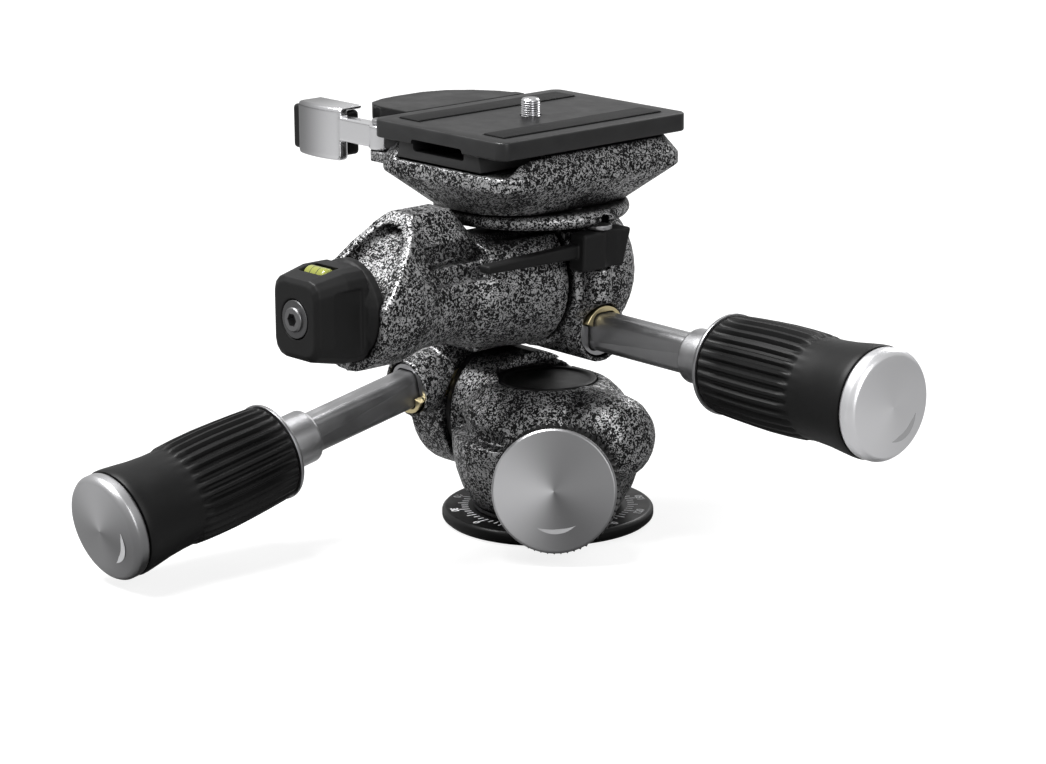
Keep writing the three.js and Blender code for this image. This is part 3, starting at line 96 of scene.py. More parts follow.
floor_finish, made, joins, shader = nodes_of("table")
shader.inputs["Base Color"].default_value = FLOOR_COLOUR
shader.inputs["Roughness"].default_value = 0.9
shader.inputs["Emission Color"].default_value = (1, 1, 1, 1)
ray = made.new("ShaderNodeLightPath")
seen = made.new("ShaderNodeMath")
seen.operation = "MAXIMUM"
glow = made.new("ShaderNodeMath")
glow.operation = "MULTIPLY"
glow.inputs[1].default_value = FLOOR_GLOW
joins.new(ray.outputs["Is Camera Ray"], seen.inputs[0])
joins.new(ray.outputs["Is Transmission Ray"], seen.inputs[1])
joins.new(seen.outputs[0], glow.inputs[0])
joins.new(glow.outputs[0], shader.inputs["Emission Strength"])

table_mesh = bmesh.new()
bmesh.ops.create_grid(table_mesh, x_segments=1, y_segments=1, size=FLOOR_SIZE / 2)
table_data = bpy.data.meshes.new("table")
table_mesh.to_mesh(table_data)
table = bpy.data.objects.new("table", table_data)
table_data.materials.append(floor_finish)
bpy.context.scene.collection.objects.link(table)


# The light: one wide soft lamp above and to the left, a tall one on the right, a weak one behind,
# and an even grey room, which is white to the lens.
ROOM_LIGHT = 0.08
ROOM_IN_GLOSS = 0.5
LAMPS_AIM = 60 * mm
lamps = {
    # name: place, size, watts
    "lamp_above": ((-0.3, -0.45, 1.3), (0.7, 0.7), 37),
    "lamp_right": ((1.15, -0.2, 0.6), (0.5, 0.9), 6),
    "lamp_behind": ((-0.3, 1.1, 0.8), (0.8, 0.5), 5),
}
for name, (place, size, power) in lamps.items():
    lamp_data = bpy.data.lights.new(name, "AREA")
    lamp_data.shape = "RECTANGLE"
    lamp_data.size, lamp_data.size_y = size
    lamp_data.energy = power
    lamp = bpy.data.objects.new(name, lamp_data)
    lamp.location = place
    aim = Vector(place) - Vector((0, 0, LAMPS_AIM))
    lamp.rotation_mode = "QUATERNION"
    lamp.rotation_quaternion = aim.to_track_quat("Z", "Y")
    bpy.context.scene.collection.objects.link(lamp)

room = bpy.data.worlds.new("room")
room.use_nodes = True
bpy.context.scene.world = room
air = room.node_tree
plain = air.nodes["Background"]
plain.inputs["Color"].default_value = (1, 1, 1, 1)
ray = air.nodes.new("ShaderNodeLightPath")
seen = air.nodes.new("ShaderNodeMath")
seen.operation = "MAXIMUM"
level_of_room = air.nodes.new("ShaderNodeMapRange")
in_gloss = air.nodes.new("ShaderNodeMath")
in_gloss.operation = "MULTIPLY_ADD"
in_gloss.inputs[1].default_value = ROOM_IN_GLOSS
in_gloss.inputs[2].default_value = ROOM_LIGHT
air.links.new(ray.outputs["Is Glossy Ray"], in_gloss.inputs[0])
air.links.new(in_gloss.outputs[0], level_of_room.inputs["To Min"])
level_of_room.inputs["To Max"].default_value = 1
air.links.new(ray.outputs["Is Camera Ray"], seen.inputs[0])
air.links.new(ray.outputs["Is Transmission Ray"], seen.inputs[1])
air.links.new(seen.outputs[0], level_of_room.inputs["Value"])
air.links.new(level_of_room.outputs["Result"], plain.inputs["Strength"])


# Pan housing: the lower casting, aluminium, cast and then sprayed with a black paint that dries
# in silvery worms and dots. The other castings share its paint. Its edges are soft from the mould.
PAINT_BLACK = (0.004, 0.004, 0.0043, 1)
PAINT_SILVER = (0.52, 0.52, 0.525, 1)
WORM_SCALE = 1000
WORM_AMOUNT = 0.52
COARSE_SHARE = 0.72
FINE_SHARE = 0.28
FINE_TIMES = 2.7
DRIFT_SCALE = 90
DRIFT_SHARE = 0.12  # how much the amount sways over the piece
EDGE_BELOW = 0.035  # black turns to silver between these, either side of the amount
EDGE_ABOVE = 0.055
# How far the painted shade in the paint's corners and recesses reaches
PAINTED_SHADE_REACH = 6 * mm
SAME_PLACE = 0.002 * mm
CAST_CORNER = 60  # degrees
HOUSING_VOXEL = 0.5 * mm
HOUSING_ROUNDS = 3
LEDGE_START = math.radians(-140)
LEDGE_SWEEP = math.radians(68)


def new_group(name, inputs, outputs):
    """A node group with named sockets, its input and output nodes."""
    group = bpy.data.node_groups.new(name, "ShaderNodeTree")
    for label, kind, value in inputs:
        socket = group.interface.new_socket(label, in_out="INPUT", socket_type=kind)
        socket.default_value = value
    for label, kind in outputs:
        group.interface.new_socket(label, in_out="OUTPUT", socket_type=kind)
    return group, group.nodes.new("NodeGroupInput"), group.nodes.new("NodeGroupOutput")


def math_node(tree, operation, first, second=None):
    """One arithmetic node, fed by sockets or plain numbers."""
    node = tree.nodes.new("ShaderNodeMath")
    node.operation = operation
    for socket, value in zip(node.inputs, (first, second)):
        if value is None:
            continue
        if isinstance(value, (int, float)):
            socket.default_value = value
        else:
            tree.links.new(value, socket)
    return node.outputs[0]


# Worms of silver in the black: a distorted noise, cut sharply, with a finer one breaking it up
worms, worms_in, worms_out = new_group(
    "silver_worms",
    [("Scale", "NodeSocketFloat", WORM_SCALE), ("Amount", "NodeSocketFloat", WORM_AMOUNT)],
    [("Silver", "NodeSocketFloat"), ("Height", "NodeSocketFloat")])
spots = worms.nodes.new("ShaderNodeTexCoord")
coarse = worms.nodes.new("ShaderNodeTexNoise")
coarse.inputs["Detail"].default_value = 2
coarse.inputs["Distortion"].default_value = 1.6
fine = worms.nodes.new("ShaderNodeTexNoise")
fine.inputs["Detail"].default_value = 1
drift = worms.nodes.new("ShaderNodeTexNoise")
drift.inputs["Scale"].default_value = DRIFT_SCALE
drift.inputs["Detail"].default_value = 1
cutoff = worms.nodes.new("ShaderNodeMapRange")
cutoff.interpolation_type = "SMOOTHSTEP"
worms.links.new(spots.outputs["Object"], coarse.inputs["Vector"])
worms.links.new(spots.outputs["Object"], fine.inputs["Vector"])
worms.links.new(spots.outputs["Object"], drift.inputs["Vector"])
worms.links.new(worms_in.outputs["Scale"], coarse.inputs["Scale"])
worms.links.new(math_node(worms, "MULTIPLY", worms_in.outputs["Scale"], FINE_TIMES),
                fine.inputs["Scale"])
both = math_node(worms, "ADD", math_node(worms, "MULTIPLY", coarse.outputs["Fac"], COARSE_SHARE),
                 math_node(worms, "MULTIPLY", fine.outputs["Fac"], FINE_SHARE))
swayed = math_node(worms, "ADD", both, math_node(
    worms, "MULTIPLY", math_node(worms, "SUBTRACT", drift.outputs["Fac"], 0.5), DRIFT_SHARE))
worms.links.new(swayed, cutoff.inputs["Value"])
worms.links.new(math_node(worms, "SUBTRACT", worms_in.outputs["Amount"], EDGE_BELOW),
                cutoff.inputs["From Min"])
worms.links.new(math_node(worms, "ADD", worms_in.outputs["Amount"], EDGE_ABOVE),
                cutoff.inputs["From Max"])
worms.links.new(cutoff.outputs["Result"], worms_out.inputs["Silver"])
worms.links.new(both, worms_out.inputs["Height"])

# The paint: silver worms stand a little proud and are metallic, and occlusion darkens the silver in
# tight corners, a painted shade
hammer_paint, made, joins, shader = nodes_of("hammer_paint")
pattern = made.new("ShaderNodeGroup")
pattern.node_tree = worms
pattern.inputs["Scale"].default_value = WORM_SCALE
pattern.inputs["Amount"].default_value = WORM_AMOUNT
tint = made.new("ShaderNodeMix")
tint.data_type = "RGBA"
tint.inputs["A"].default_value = PAINT_BLACK
tint.inputs["B"].default_value = PAINT_SILVER
metal = made.new("ShaderNodeMapRange")
metal.inputs["To Max"].default_value = 0.7
relief = made.new("ShaderNodeBump")
relief.inputs["Strength"].default_value = 0.5
relief.inputs["Distance"].default_value = 0.2 * mm
# Painted shade: the paint's silver is darkened where corners and recesses hem it in
painted_crevice_shade = made.new("ShaderNodeAmbientOcclusion")
painted_crevice_shade.inputs["Distance"].default_value = PAINTED_SHADE_REACH
painted_crevice_shade.samples = 8
shade = made.new("ShaderNodeMapRange")
shade.inputs["From Min"].default_value = 0.25
shade.inputs["From Max"].default_value = 0.9
share_of_silver = math_node(
    hammer_paint.node_tree, "MULTIPLY", pattern.outputs["Silver"], shade.outputs["Result"])
joins.new(painted_crevice_shade.outputs["AO"], shade.inputs["Value"])
joins.new(share_of_silver, tint.inputs["Factor"])
joins.new(pattern.outputs["Silver"], metal.inputs["Value"])
joins.new(pattern.outputs["Height"], relief.inputs["Height"])
joins.new(tint.outputs["Result"], shader.inputs["Base Color"])
joins.new(metal.outputs["Result"], shader.inputs["Metallic"])
joins.new(relief.outputs["Normal"], shader.inputs["Normal"])
shader.inputs["Roughness"].default_value = 0.42
shader.inputs["Specular IOR Level"].default_value = 0.12


def shaded(mesh, angle=35):
    """Smooth light over soft bends, crisp at corners sharper than so many degrees."""
    for polygon in mesh.polygons:
        polygon.use_smooth = True
    mesh.set_sharp_from_angle(angle=math.radians(angle))
    return mesh


def placed(name, mesh, body, slot, finish, *stands_for):
    """A finished piece: it rides on its body and hides the plain solids it stands for."""
    mesh.name = name
    piece = bpy.data.objects.new(name, mesh)
    bpy.context.scene.collection.objects.link(piece)
    if not mesh.materials:
        mesh.materials.append(finish)
    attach(piece, body)
    if stands_for:
        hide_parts(*stands_for)
    return piece


def merged_copy(node):
    """The solid's own form, with its loose triangles joined."""
    form = bmesh.new()
    form.from_mesh(nodes[node].data)
    bmesh.ops.remove_doubles(form, verts=form.verts, dist=SAME_PLACE)
    return form


def from_mould(form, voxel, rounds, cutters=()):
    """A form after cutters bite in, skinned evenly and smoothed, as a mould leaves its edges.

    Without a voxel the form is only cut."""
    mesh = bpy.data.meshes.new("blank")
    form.to_mesh(mesh)
    form.free()
    blank = bpy.data.objects.new("blank", mesh)
    bpy.context.scene.collection.objects.link(blank)
    tools = []
    for cutter in cutters:
        tool_mesh = bpy.data.meshes.new("tool")
        cutter.to_mesh(tool_mesh)
        cutter.free()
        tool = bpy.data.objects.new("tool", tool_mesh)
        bpy.context.scene.collection.objects.link(tool)
        bite = blank.modifiers.new("bite", "BOOLEAN")
        bite.operation = "DIFFERENCE"
        bite.solver = "EXACT"
        bite.use_self = True
        bite.object = tool
        tools.append(tool)
    if voxel:
        skin = blank.modifiers.new("skin", "REMESH")
        skin.mode = "VOXEL"
        skin.voxel_size = voxel
        soft = blank.modifiers.new("soft", "SMOOTH")
        soft.factor = 0.5
        soft.iterations = rounds
    bpy.context.view_layer.update()
    result = bpy.data.meshes.new_from_object(
        blank.evaluated_get(bpy.context.evaluated_depsgraph_get()))
    for spent in [blank] + tools:
        bpy.data.objects.remove(spent)
    result.materials.clear()
    return result


# A shallow ledge round the shoulder, on the side under the level
ledge = [(22.6, 26.3), (30, 24.9), (30, 34.5), (24.3, 31.8), (22.9, 28.6)]
ledge_cut = bmesh.new()
corners = [ledge_cut.verts.new((across * mm, 0, up * mm)) for across, up in ledge]
face = ledge_cut.faces.new(corners)
ledge_cut.transform(Matrix.Rotation(LEDGE_START, 4, "Z"))
bmesh.ops.spin(ledge_cut, geom=[face], cent=(0, 0, 0), axis=(0, 0, 1), angle=LEDGE_SWEEP, steps=32)
bmesh.ops.recalc_face_normals(ledge_cut, faces=ledge_cut.faces)
housing_mesh = from_mould(merged_copy("pan_housing"), HOUSING_VOXEL, HOUSING_ROUNDS, [ledge_cut])
placed("pan_housing_cast", shaded(housing_mesh, CAST_CORNER), "pan_body", "hammertone", hammer_paint,
       "pan_housing")


# Base: a turned aluminium disc with a white scale printed on its top, in black paint, and the
# grooved drum that the housing turns on. It screws onto a tripod by a steel bush pressed in it.
DISC_TOP = 4 * mm
TICK_STEP = 5
LONG_TICK_STEP = 15
LONG_TICK_TIMES = 1.55
TICK_INNER = 22.6 * mm
TICK_LENGTH = 1.9 * mm
TICK_WIDTH = 0.45 * mm
NUMBER_STEP = 30
NUMBER_RADIUS = 27 * mm
NUMBER_SIZE = 3.1 * mm
NUMBER_BOLD = 0.09 * mm
PRINT_HEIGHT = 0.03 * mm
BUSH_PITCH = 1.2
BUSH_TURNS = 9
ARC_STEPS = 4


def rounded(outline):
    """An outline of (across, along, corner) whose corners become short arcs."""
    points = []
    last = len(outline) - 1
    for index, corner in enumerate(outline):
        here = Vector(corner[:2])
        radius = corner[2] if len(corner) > 2 else 0
        if not radius or index in (0, last):
            points.append(here)
            continue
        before, after = Vector(outline[index - 1][:2]), Vector(outline[index + 1][:2])
        back = min(radius, (before - here).length / 2)
        ahead = min(radius, (after - here).length / 2)
        start = here + (before - here).normalized() * back
        end = here + (after - here).normalized() * ahead
        for step in range(ARC_STEPS + 1):
            share = step / ARC_STEPS
            points.append(start.lerp(here, share).lerp(here.lerp(end, share), share))
    return points


def turned(outline, place=None, steps=112):
    """A turned piece about Z, from an outline in millimetres, moved to its place."""
    form = bmesh.new()
    points = [form.verts.new((point.x * mm, 0, point.y * mm)) for point in rounded(outline)]
    lines = [form.edges.new(pair) for pair in zip(points, points[1:])]
    bmesh.ops.spin(form, geom=points + lines, cent=(0, 0, 0), axis=(0, 0, 1),
                   angle=math.tau, steps=steps, use_merge=True)
    bmesh.ops.remove_doubles(form, verts=form.verts, dist=0.001 * mm)
    bmesh.ops.recalc_face_normals(form, faces=form.faces)
    if place is not None:
        form.transform(place)
    return form


def mesh_of(form, angle=35):
    """The mesh of a finished form, with its shading."""
    mesh = bpy.data.meshes.new("form")
    form.to_mesh(mesh)
    form.free()
    return shaded(mesh, angle)


# Fine unevenness for paints, plastics and metals: a value for roughness and a height for relief
grain, grain_in, grain_out = new_group(
    "fine_grain", [("Scale", "NodeSocketFloat", 2000.0)],
    [("Value", "NodeSocketFloat"), ("Height", "NodeSocketFloat")])
spots = grain.nodes.new("ShaderNodeTexCoord")
broad = grain.nodes.new("ShaderNodeTexNoise")
broad.inputs["Detail"].default_value = 4
narrow = grain.nodes.new("ShaderNodeTexNoise")
narrow.inputs["Detail"].default_value = 2
grain.links.new(spots.outputs["Object"], broad.inputs["Vector"])
grain.links.new(spots.outputs["Object"], narrow.inputs["Vector"])
grain.links.new(math_node(grain, "MULTIPLY", grain_in.outputs["Scale"], 0.06), broad.inputs["Scale"])
grain.links.new(grain_in.outputs["Scale"], narrow.inputs["Scale"])
grain.links.new(broad.outputs["Fac"], grain_out.inputs["Value"])
grain.links.new(narrow.outputs["Fac"], grain_out.inputs["Height"])


def grained(name, dark, light, roughness, metallic=0.0, scale=2500.0, bump=0.12, specular=0.5):
    """A finish whose colour and gloss drift a little and whose surface has a fine tooth."""
    material, made, joins, shader = nodes_of(name)
    tooth = made.new("ShaderNodeGroup")
    tooth.node_tree = grain
    tooth.inputs["Scale"].default_value = scale
    tint = made.new("ShaderNodeMix")
    tint.data_type = "RGBA"
    tint.inputs["A"].default_value = dark
    tint.inputs["B"].default_value = light
    gloss = made.new("ShaderNodeMapRange")
    gloss.inputs["From Min"].default_value = 0.3
    gloss.inputs["From Max"].default_value = 0.7
    gloss.inputs["To Min"].default_value = roughness - 0.05
    gloss.inputs["To Max"].default_value = roughness + 0.07
    relief = made.new("ShaderNodeBump")
    relief.inputs["Strength"].default_value = bump
    relief.inputs["Distance"].default_value = 0.05 * mm
    joins.new(tooth.outputs["Value"], tint.inputs["Factor"])
    joins.new(tooth.outputs["Value"], gloss.inputs["Value"])
    joins.new(tooth.outputs["Height"], relief.inputs["Height"])
    joins.new(tint.outputs["Result"], shader.inputs["Base Color"])
    joins.new(gloss.outputs["Result"], shader.inputs["Roughness"])
    joins.new(relief.outputs["Normal"], shader.inputs["Normal"])
    shader.inputs["Metallic"].default_value = metallic
    shader.inputs["Specular IOR Level"].default_value = specular
    return material


def grey(value):
    """A grey that leans a little to blue."""
    return (value, value, value * 1.02, 1)


black_paint = grained("black_paint", grey(0.004), grey(0.007), 0.36, specular=0.2)
steel = grained("steel", grey(0.36), grey(0.5), 0.3, 1.0)
white_print = grained("white_print", grey(0.8), grey(0.95), 0.5)

disc = turned([
    (0, 15.3), (7.8, 15.3, 0.2), (7.8, 0, 0.2), (28.6, 0, 0.5), (30, 1.2, 0.5), (30, 3.2, 0.5),
    (29.2, 4, 0.4), (21, 4, 0.2), (16, 4, 0.3), (16, 13.5, 0.2), (14, 14.7, 0.2), (14, 16.7, 0.2),
    (16, 17.9, 0.2), (16, 18.8, 0.3), (15.2, 19.6, 0.3), (0, 19.6),
])
placed("base_disc", mesh_of(disc), "base", "black_paint", black_paint, "base_plate")

scale_form = bmesh.new()
for turn in range(0, 360, TICK_STEP):
    length = TICK_LENGTH * (LONG_TICK_TIMES if turn % LONG_TICK_STEP == 0 else 1)
    tick = Matrix.Rotation(math.radians(turn), 4, "Z") @ Matrix.Translation(
        (TICK_INNER + length / 2, 0, DISC_TOP + PRINT_HEIGHT / 2))
    shape = Matrix.Diagonal((length, TICK_WIDTH, PRINT_HEIGHT, 1))
    bmesh.ops.create_cube(scale_form, size=1, matrix=tick @ shape)
for turn in range(0, 360, NUMBER_STEP):
    text = bpy.data.curves.new("number", "FONT")
    text.body = str(min(turn, 360 - turn))
    text.size = NUMBER_SIZE
    text.extrude = PRINT_HEIGHT / 2
    text.offset = NUMBER_BOLD
    text.align_x = "CENTER"
    text.align_y = "CENTER"
    drawn = bpy.data.objects.new("number", text)
    bpy.context.scene.collection.objects.link(drawn)
    bpy.context.view_layer.update()
    letters = bpy.data.meshes.new_from_object(
        drawn.evaluated_get(bpy.context.evaluated_depsgraph_get()))
    letters.transform(Matrix.Rotation(math.radians(turn), 4, "Z")
                      @ Matrix.Translation((0, -NUMBER_RADIUS, DISC_TOP + PRINT_HEIGHT / 2)))
    scale_form.from_mesh(letters)
    bpy.data.objects.remove(drawn)
placed("base_scale", mesh_of(scale_form), "base", "turned_metal", white_print)

bush_thread = []
for turn in range(BUSH_TURNS):
    root = 12 - BUSH_PITCH * turn
    bush_thread += [(4.2, root), (3.7, root - BUSH_PITCH / 2)]
bush = turned([(0, 14), (4.2, 14)] + bush_thread + [
    (4.4, 1, 0.2), (4.9, 0.3, 0.2), (7.5, 0.3, 0.2), (7.5, 15, 0.3), (0, 15),
], steps=64)
placed("tripod_bush", mesh_of(bush), "base", "steel", steel, "tripod_thread_insert")


# Pan cap: a moulded black plug with a dished face, pressed into the top of the housing over the
# screw that holds the tilt shaft.
black_plastic = grained("black_plastic", grey(0.004), grey(0.008), 0.4, specular=0.22)
cap_low, cap_top = (corner.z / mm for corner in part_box("pan_top_cap"))
pan_cap = turned([
    (0, cap_low), (14, cap_low, 0.2), (14, cap_top, 0.4), (12.6, cap_top, 0.4),
    (12, cap_top - 0.75, 0.4), (3, cap_top - 0.95), (0, cap_top - 0.97),
])
placed("pan_cap", mesh_of(pan_cap), "pan_body", "black_plastic", black_plastic, "pan_top_cap")


# Pan knob: a black ring with fine teeth and a turned aluminium face pressed into it, on the screw
# that pushes a brass shoe into the groove of the drum.
KNOB_TURN = 0.75  # radians round the pan axis, and then up
KNOB_LIFT = 0.157
KNOB_REACH = 46  # the face's middle: out, aside and up
KNOB_OFFSET = 5.5
KNOB_HEIGHT = 21
KNOB_RECESS = 2.3  # from the face back to the ring, and the ring's length
KNOB_GRIP = 10.5
KNOB_TEETH = 60
TOOTH_DEPTH = 0.55
LINES_PER_METRE = 5200

knob_out = Vector((math.sin(KNOB_TURN) * math.cos(KNOB_LIFT),
                   -math.cos(KNOB_TURN) * math.cos(KNOB_LIFT), math.sin(KNOB_LIFT)))
knob_side = Vector((math.cos(KNOB_TURN), math.sin(KNOB_TURN), 0))
knob_face = (Vector((math.sin(KNOB_TURN), -math.cos(KNOB_TURN), 0)) * KNOB_REACH
             + knob_side * KNOB_OFFSET)
knob_face.z = KNOB_HEIGHT


def standing(origin, side, out):
    """The place of a piece made about Z, with its origin, its X side and its Z axis."""
    frame_of = Matrix((side, out.cross(side), out)).transposed().to_4x4()
    return Matrix.Translation(origin * mm) @ frame_of


# Turned metal: fine rings round an axis, and a painted sheen, a soft bow of light and dark in the
# colour such as rings give
rings, rings_in, rings_out = new_group(
    "turning_rings",
    [("Middle", "NodeSocketVector", (0, 0, 0)), ("Side", "NodeSocketVector", (1, 0, 0)),
     ("Up", "NodeSocketVector", (0, 1, 0)), ("First Bow", "NodeSocketFloat", 2.6),
     ("Second Bow", "NodeSocketFloat", 0.6)],
    [("Bow", "NodeSocketFloat"), ("Height", "NodeSocketFloat")])
spots = rings.nodes.new("ShaderNodeTexCoord")
from_middle = rings.nodes.new("ShaderNodeVectorMath")
from_middle.operation = "SUBTRACT"
rings.links.new(spots.outputs["Object"], from_middle.inputs[0])
rings.links.new(rings_in.outputs["Middle"], from_middle.inputs[1])
shares = []
for label in ("Side", "Up"):
    along = rings.nodes.new("ShaderNodeVectorMath")
    along.operation = "DOT_PRODUCT"
    rings.links.new(from_middle.outputs[0], along.inputs[0])
    rings.links.new(rings_in.outputs[label], along.inputs[1])
    shares.append(along.outputs["Value"])
bearing = math_node(rings, "ARCTAN2", shares[1], shares[0])
once = math_node(rings, "COSINE", math_node(
    rings, "SUBTRACT", bearing, rings_in.outputs["First Bow"]))
twice = math_node(rings, "COSINE", math_node(
    rings, "SUBTRACT", math_node(rings, "MULTIPLY", bearing, 2), rings_in.outputs["Second Bow"]))
# Painted sheen: bows of light and dark round the axis
painted_sheen = math_node(rings, "ADD", math_node(rings, "MULTIPLY", once, 0.32),
                math_node(rings, "MULTIPLY", twice, 0.18))
rings.links.new(math_node(rings, "ADD", painted_sheen, 0.5), rings_out.inputs["Bow"])
reach = math_node(rings, "SQRT", math_node(
    rings, "ADD", math_node(rings, "MULTIPLY", shares[0], shares[0]),
    math_node(rings, "MULTIPLY", shares[1], shares[1])))
line = rings.nodes.new("ShaderNodeTexNoise")
line.noise_dimensions = "1D"
line.inputs["Scale"].default_value = 1
line.inputs["Detail"].default_value = 3
rings.links.new(math_node(rings, "MULTIPLY", reach, LINES_PER_METRE), line.inputs["W"])
rings.links.new(line.outputs["Fac"], rings_out.inputs["Height"])


def lathe_metal(name, middle, side, up, first_bow, second_bow, dark, light):
    """Turned aluminium: rings round a middle, and one broad and one double bow of painted sheen in its
    colour.
    """
    material, made, joins, shader = nodes_of(name)
    spun = made.new("ShaderNodeGroup")
    spun.node_tree = rings
    spun.inputs["Middle"].default_value = middle * mm
    spun.inputs["Side"].default_value = side
    spun.inputs["Up"].default_value = up
    spun.inputs["First Bow"].default_value = first_bow
    spun.inputs["Second Bow"].default_value = second_bow
    tint = made.new("ShaderNodeMix")
    tint.data_type = "RGBA"
    tint.inputs["A"].default_value = grey(dark)
    tint.inputs["B"].default_value = grey(light)
    relief = made.new("ShaderNodeBump")
    relief.inputs["Strength"].default_value = 0.12
    relief.inputs["Distance"].default_value = 0.02 * mm
    # The bows go into the base colour as a painted sheen
    joins.new(spun.outputs["Bow"], tint.inputs["Factor"])
    joins.new(spun.outputs["Height"], relief.inputs["Height"])
    joins.new(tint.outputs["Result"], shader.inputs["Base Color"])
    joins.new(relief.outputs["Normal"], shader.inputs["Normal"])
    shader.inputs["Metallic"].default_value = 1
    shader.inputs["Roughness"].default_value = 0.34
    return material


def crescent(radius, width, middle, sweep, height, place):
    """A curved mark that swells in its middle and runs out at both ends, set on a face."""
    form = bmesh.new()
    ends = [form.verts.new(((radius + half * width) * mm, 0, height * mm))
            for half in (-0.5, 0.5)]
    line = form.edges.new(ends)
    bmesh.ops.spin(form, geom=ends + [line], cent=(0, 0, 0), axis=(0, 0, 1), angle=sweep,
                   steps=36)
    for vert in form.verts:
        angle = math.atan2(vert.co.y, vert.co.x)
        swell = math.sin(math.pi * min(max(angle / sweep, 0.02), 0.98))
        offset = (vert.co.xy.length / mm - radius) * swell
        vert.co.xy = vert.co.xy.normalized() * (radius + offset) * mm
    bmesh.ops.solidify(form, geom=form.faces[:], thickness=0.04 * mm)
    bmesh.ops.recalc_face_normals(form, faces=form.faces)
    form.transform(place @ Matrix.Rotation(middle - sweep / 2, 4, "Z"))
    return form


def drawn_out(stations, segments, radius_at, place):
    """A ring drawn out along Z through stations of (along, radius, depth) and closed on itself.

    What radius_at gives for a bearing and a station shapes its teeth or ribs."""
    form = bmesh.new()
    bmesh.ops.create_circle(form, segments=segments, radius=1)
    loop = set(form.verts)
    for step, station in enumerate(stations):
        if step:
            edges = [edge for edge in form.edges if edge.verts[0] in loop and edge.verts[1] in loop]
            grown = bmesh.ops.extrude_edge_only(form, edges=edges)["geom"]
            loop = {part for part in grown if isinstance(part, bmesh.types.BMVert)}
        for vert in loop:
            bearing = math.atan2(vert.co.y, vert.co.x)
            across = Vector((math.cos(bearing), math.sin(bearing))) * radius_at(bearing, station) * mm
            vert.co = (across.x, across.y, station[0] * mm)
    bmesh.ops.bridge_loops(form, edges=[edge for edge in form.edges if edge.is_boundary])
    bmesh.ops.recalc_face_normals(form, faces=form.faces)
    form.transform(place)
    return form


def toothed(bearing, station):
    """The fine teeth of the knob, which the hole in its middle hasn't."""
    return station[1] + station[2] * TOOTH_DEPTH * math.cos(bearing * KNOB_TEETH)


knob_place = standing(knob_face - knob_out * KNOB_REACH, knob_side, knob_out)
knob_up = knob_out.cross(knob_side)
grip_front = KNOB_REACH - KNOB_RECESS
grip_back = grip_front - KNOB_GRIP
teeth = drawn_out([
    (grip_back, 3.4, 0), (grip_back, 15.8, 1), (grip_back + 0.25, 16.6, 1), (grip_back + 0.9, 17.1, 1),
    (grip_front - 0.8, 17.1, 1), (grip_front - 0.2, 16.8, 1), (grip_front, 16.2, 1),
    (grip_front, 3.4, 0),
], KNOB_TEETH * 4, toothed, knob_place)
rubber = grained("rubber", grey(0.004), grey(0.007), 0.46, scale=1800, bump=0.25, specular=0.2)
placed("pan_knob_ring", mesh_of(teeth, 50), "pan_knob", "rubber", rubber, "pan_knob_grip")

# The face's bows of light and dark are painted sheen in its colour, set to how the light falls on it
knob_sheen_metal = lathe_metal("knob_sheen_metal", knob_face, knob_side, knob_up, 3.0, 0.2, 0.06, 0.74)
knob_cap = turned([
    (0, 44), (17.0, 44, 0.2), (17.1, 44.9, 0.2), (16.5, 45.45, 0.15), (16.1, 45.5, 0.1), (12, 45.75),
    (6, 45.95), (0, 46),
], knob_place, 160)
placed("pan_knob_face", mesh_of(knob_cap, 25), "pan_knob", "turned_metal", knob_sheen_metal, "pan_knob_cap")
pale_print = grained("pale_print", grey(0.42), grey(0.5), 0.5)
knob_mark = crescent(radius=11, width=1.3, middle=-1.5, sweep=1, height=45.86, place=knob_place)
placed("pan_knob_mark", mesh_of(knob_mark), "pan_knob", "turned_metal", pale_print)


# Yoke: the middle casting. Its round cheek turns on the tilt shaft, a slanting web carries the
# roll barrel, and the barrel's front is hollowed round the shaft. A slot lies under the lever.
YOKE_VOXEL = 0.55 * mm
YOKE_ROUNDS = 2


def eased(form, edges, width, segments):
    """Rounds the given edges of a form."""
    bmesh.ops.bevel(form, geom=edges, offset=width * mm, segments=segments, affect="EDGES",
                    profile=0.5, material=-1)


def block(low, high, bevel=0, segments=3):
    """A block between two corners, with its edges rounded."""
    form = bmesh.new()
    size = Vector(high) - Vector(low)
    place = Matrix.Translation((Vector(high) + Vector(low)) / 2 * mm)
    bmesh.ops.create_cube(form, size=1, matrix=place @ Matrix.Diagonal((*(size * mm), 1)))
    if bevel:
        eased(form, form.edges[:], bevel, segments)
    return form


slot_cut = block((6, -53, 81.4), (26, -33, 87.4), 0.8)
lower_cut = block((10.8, -52, 77), (26, -33, 84), 0.8)
yoke_mesh = from_mould(merged_copy("tilt_yoke"), YOKE_VOXEL, YOKE_ROUNDS, [slot_cut, lower_cut])
placed("tilt_yoke_cast", shaded(yoke_mesh, CAST_CORNER), "tilt_body", "hammertone", hammer_paint,
       "tilt_yoke")


# Side cover and rear cover: dished discs moulded in black plastic. They are pressed into the
# castings and close the holes over the nuts of the tilt shaft and the roll shaft.
def lying(node, axis):
    """The place of a disc made about Z, laid along a level axis through the middle of its box."""
    low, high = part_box(node)
    middle = (low + high) / 2
    turned_about = "Y" if axis == "X" else "X"
    return Matrix.Translation(middle) @ Matrix.Rotation(math.pi / 2, 4, turned_about)


def cover(radius, node, axis):
    """A dished disc whose shallow face looks outwards."""
    return mesh_of(turned([
        (0, 0.6), (radius, 0.6, 0.2), (radius, -0.6, 0.35), (radius - 1.2, -0.6, 0.3),
        (radius - 2.2, -0.1, 0.5), (3, 0.05), (0, 0.05),
    ], lying(node, axis)))


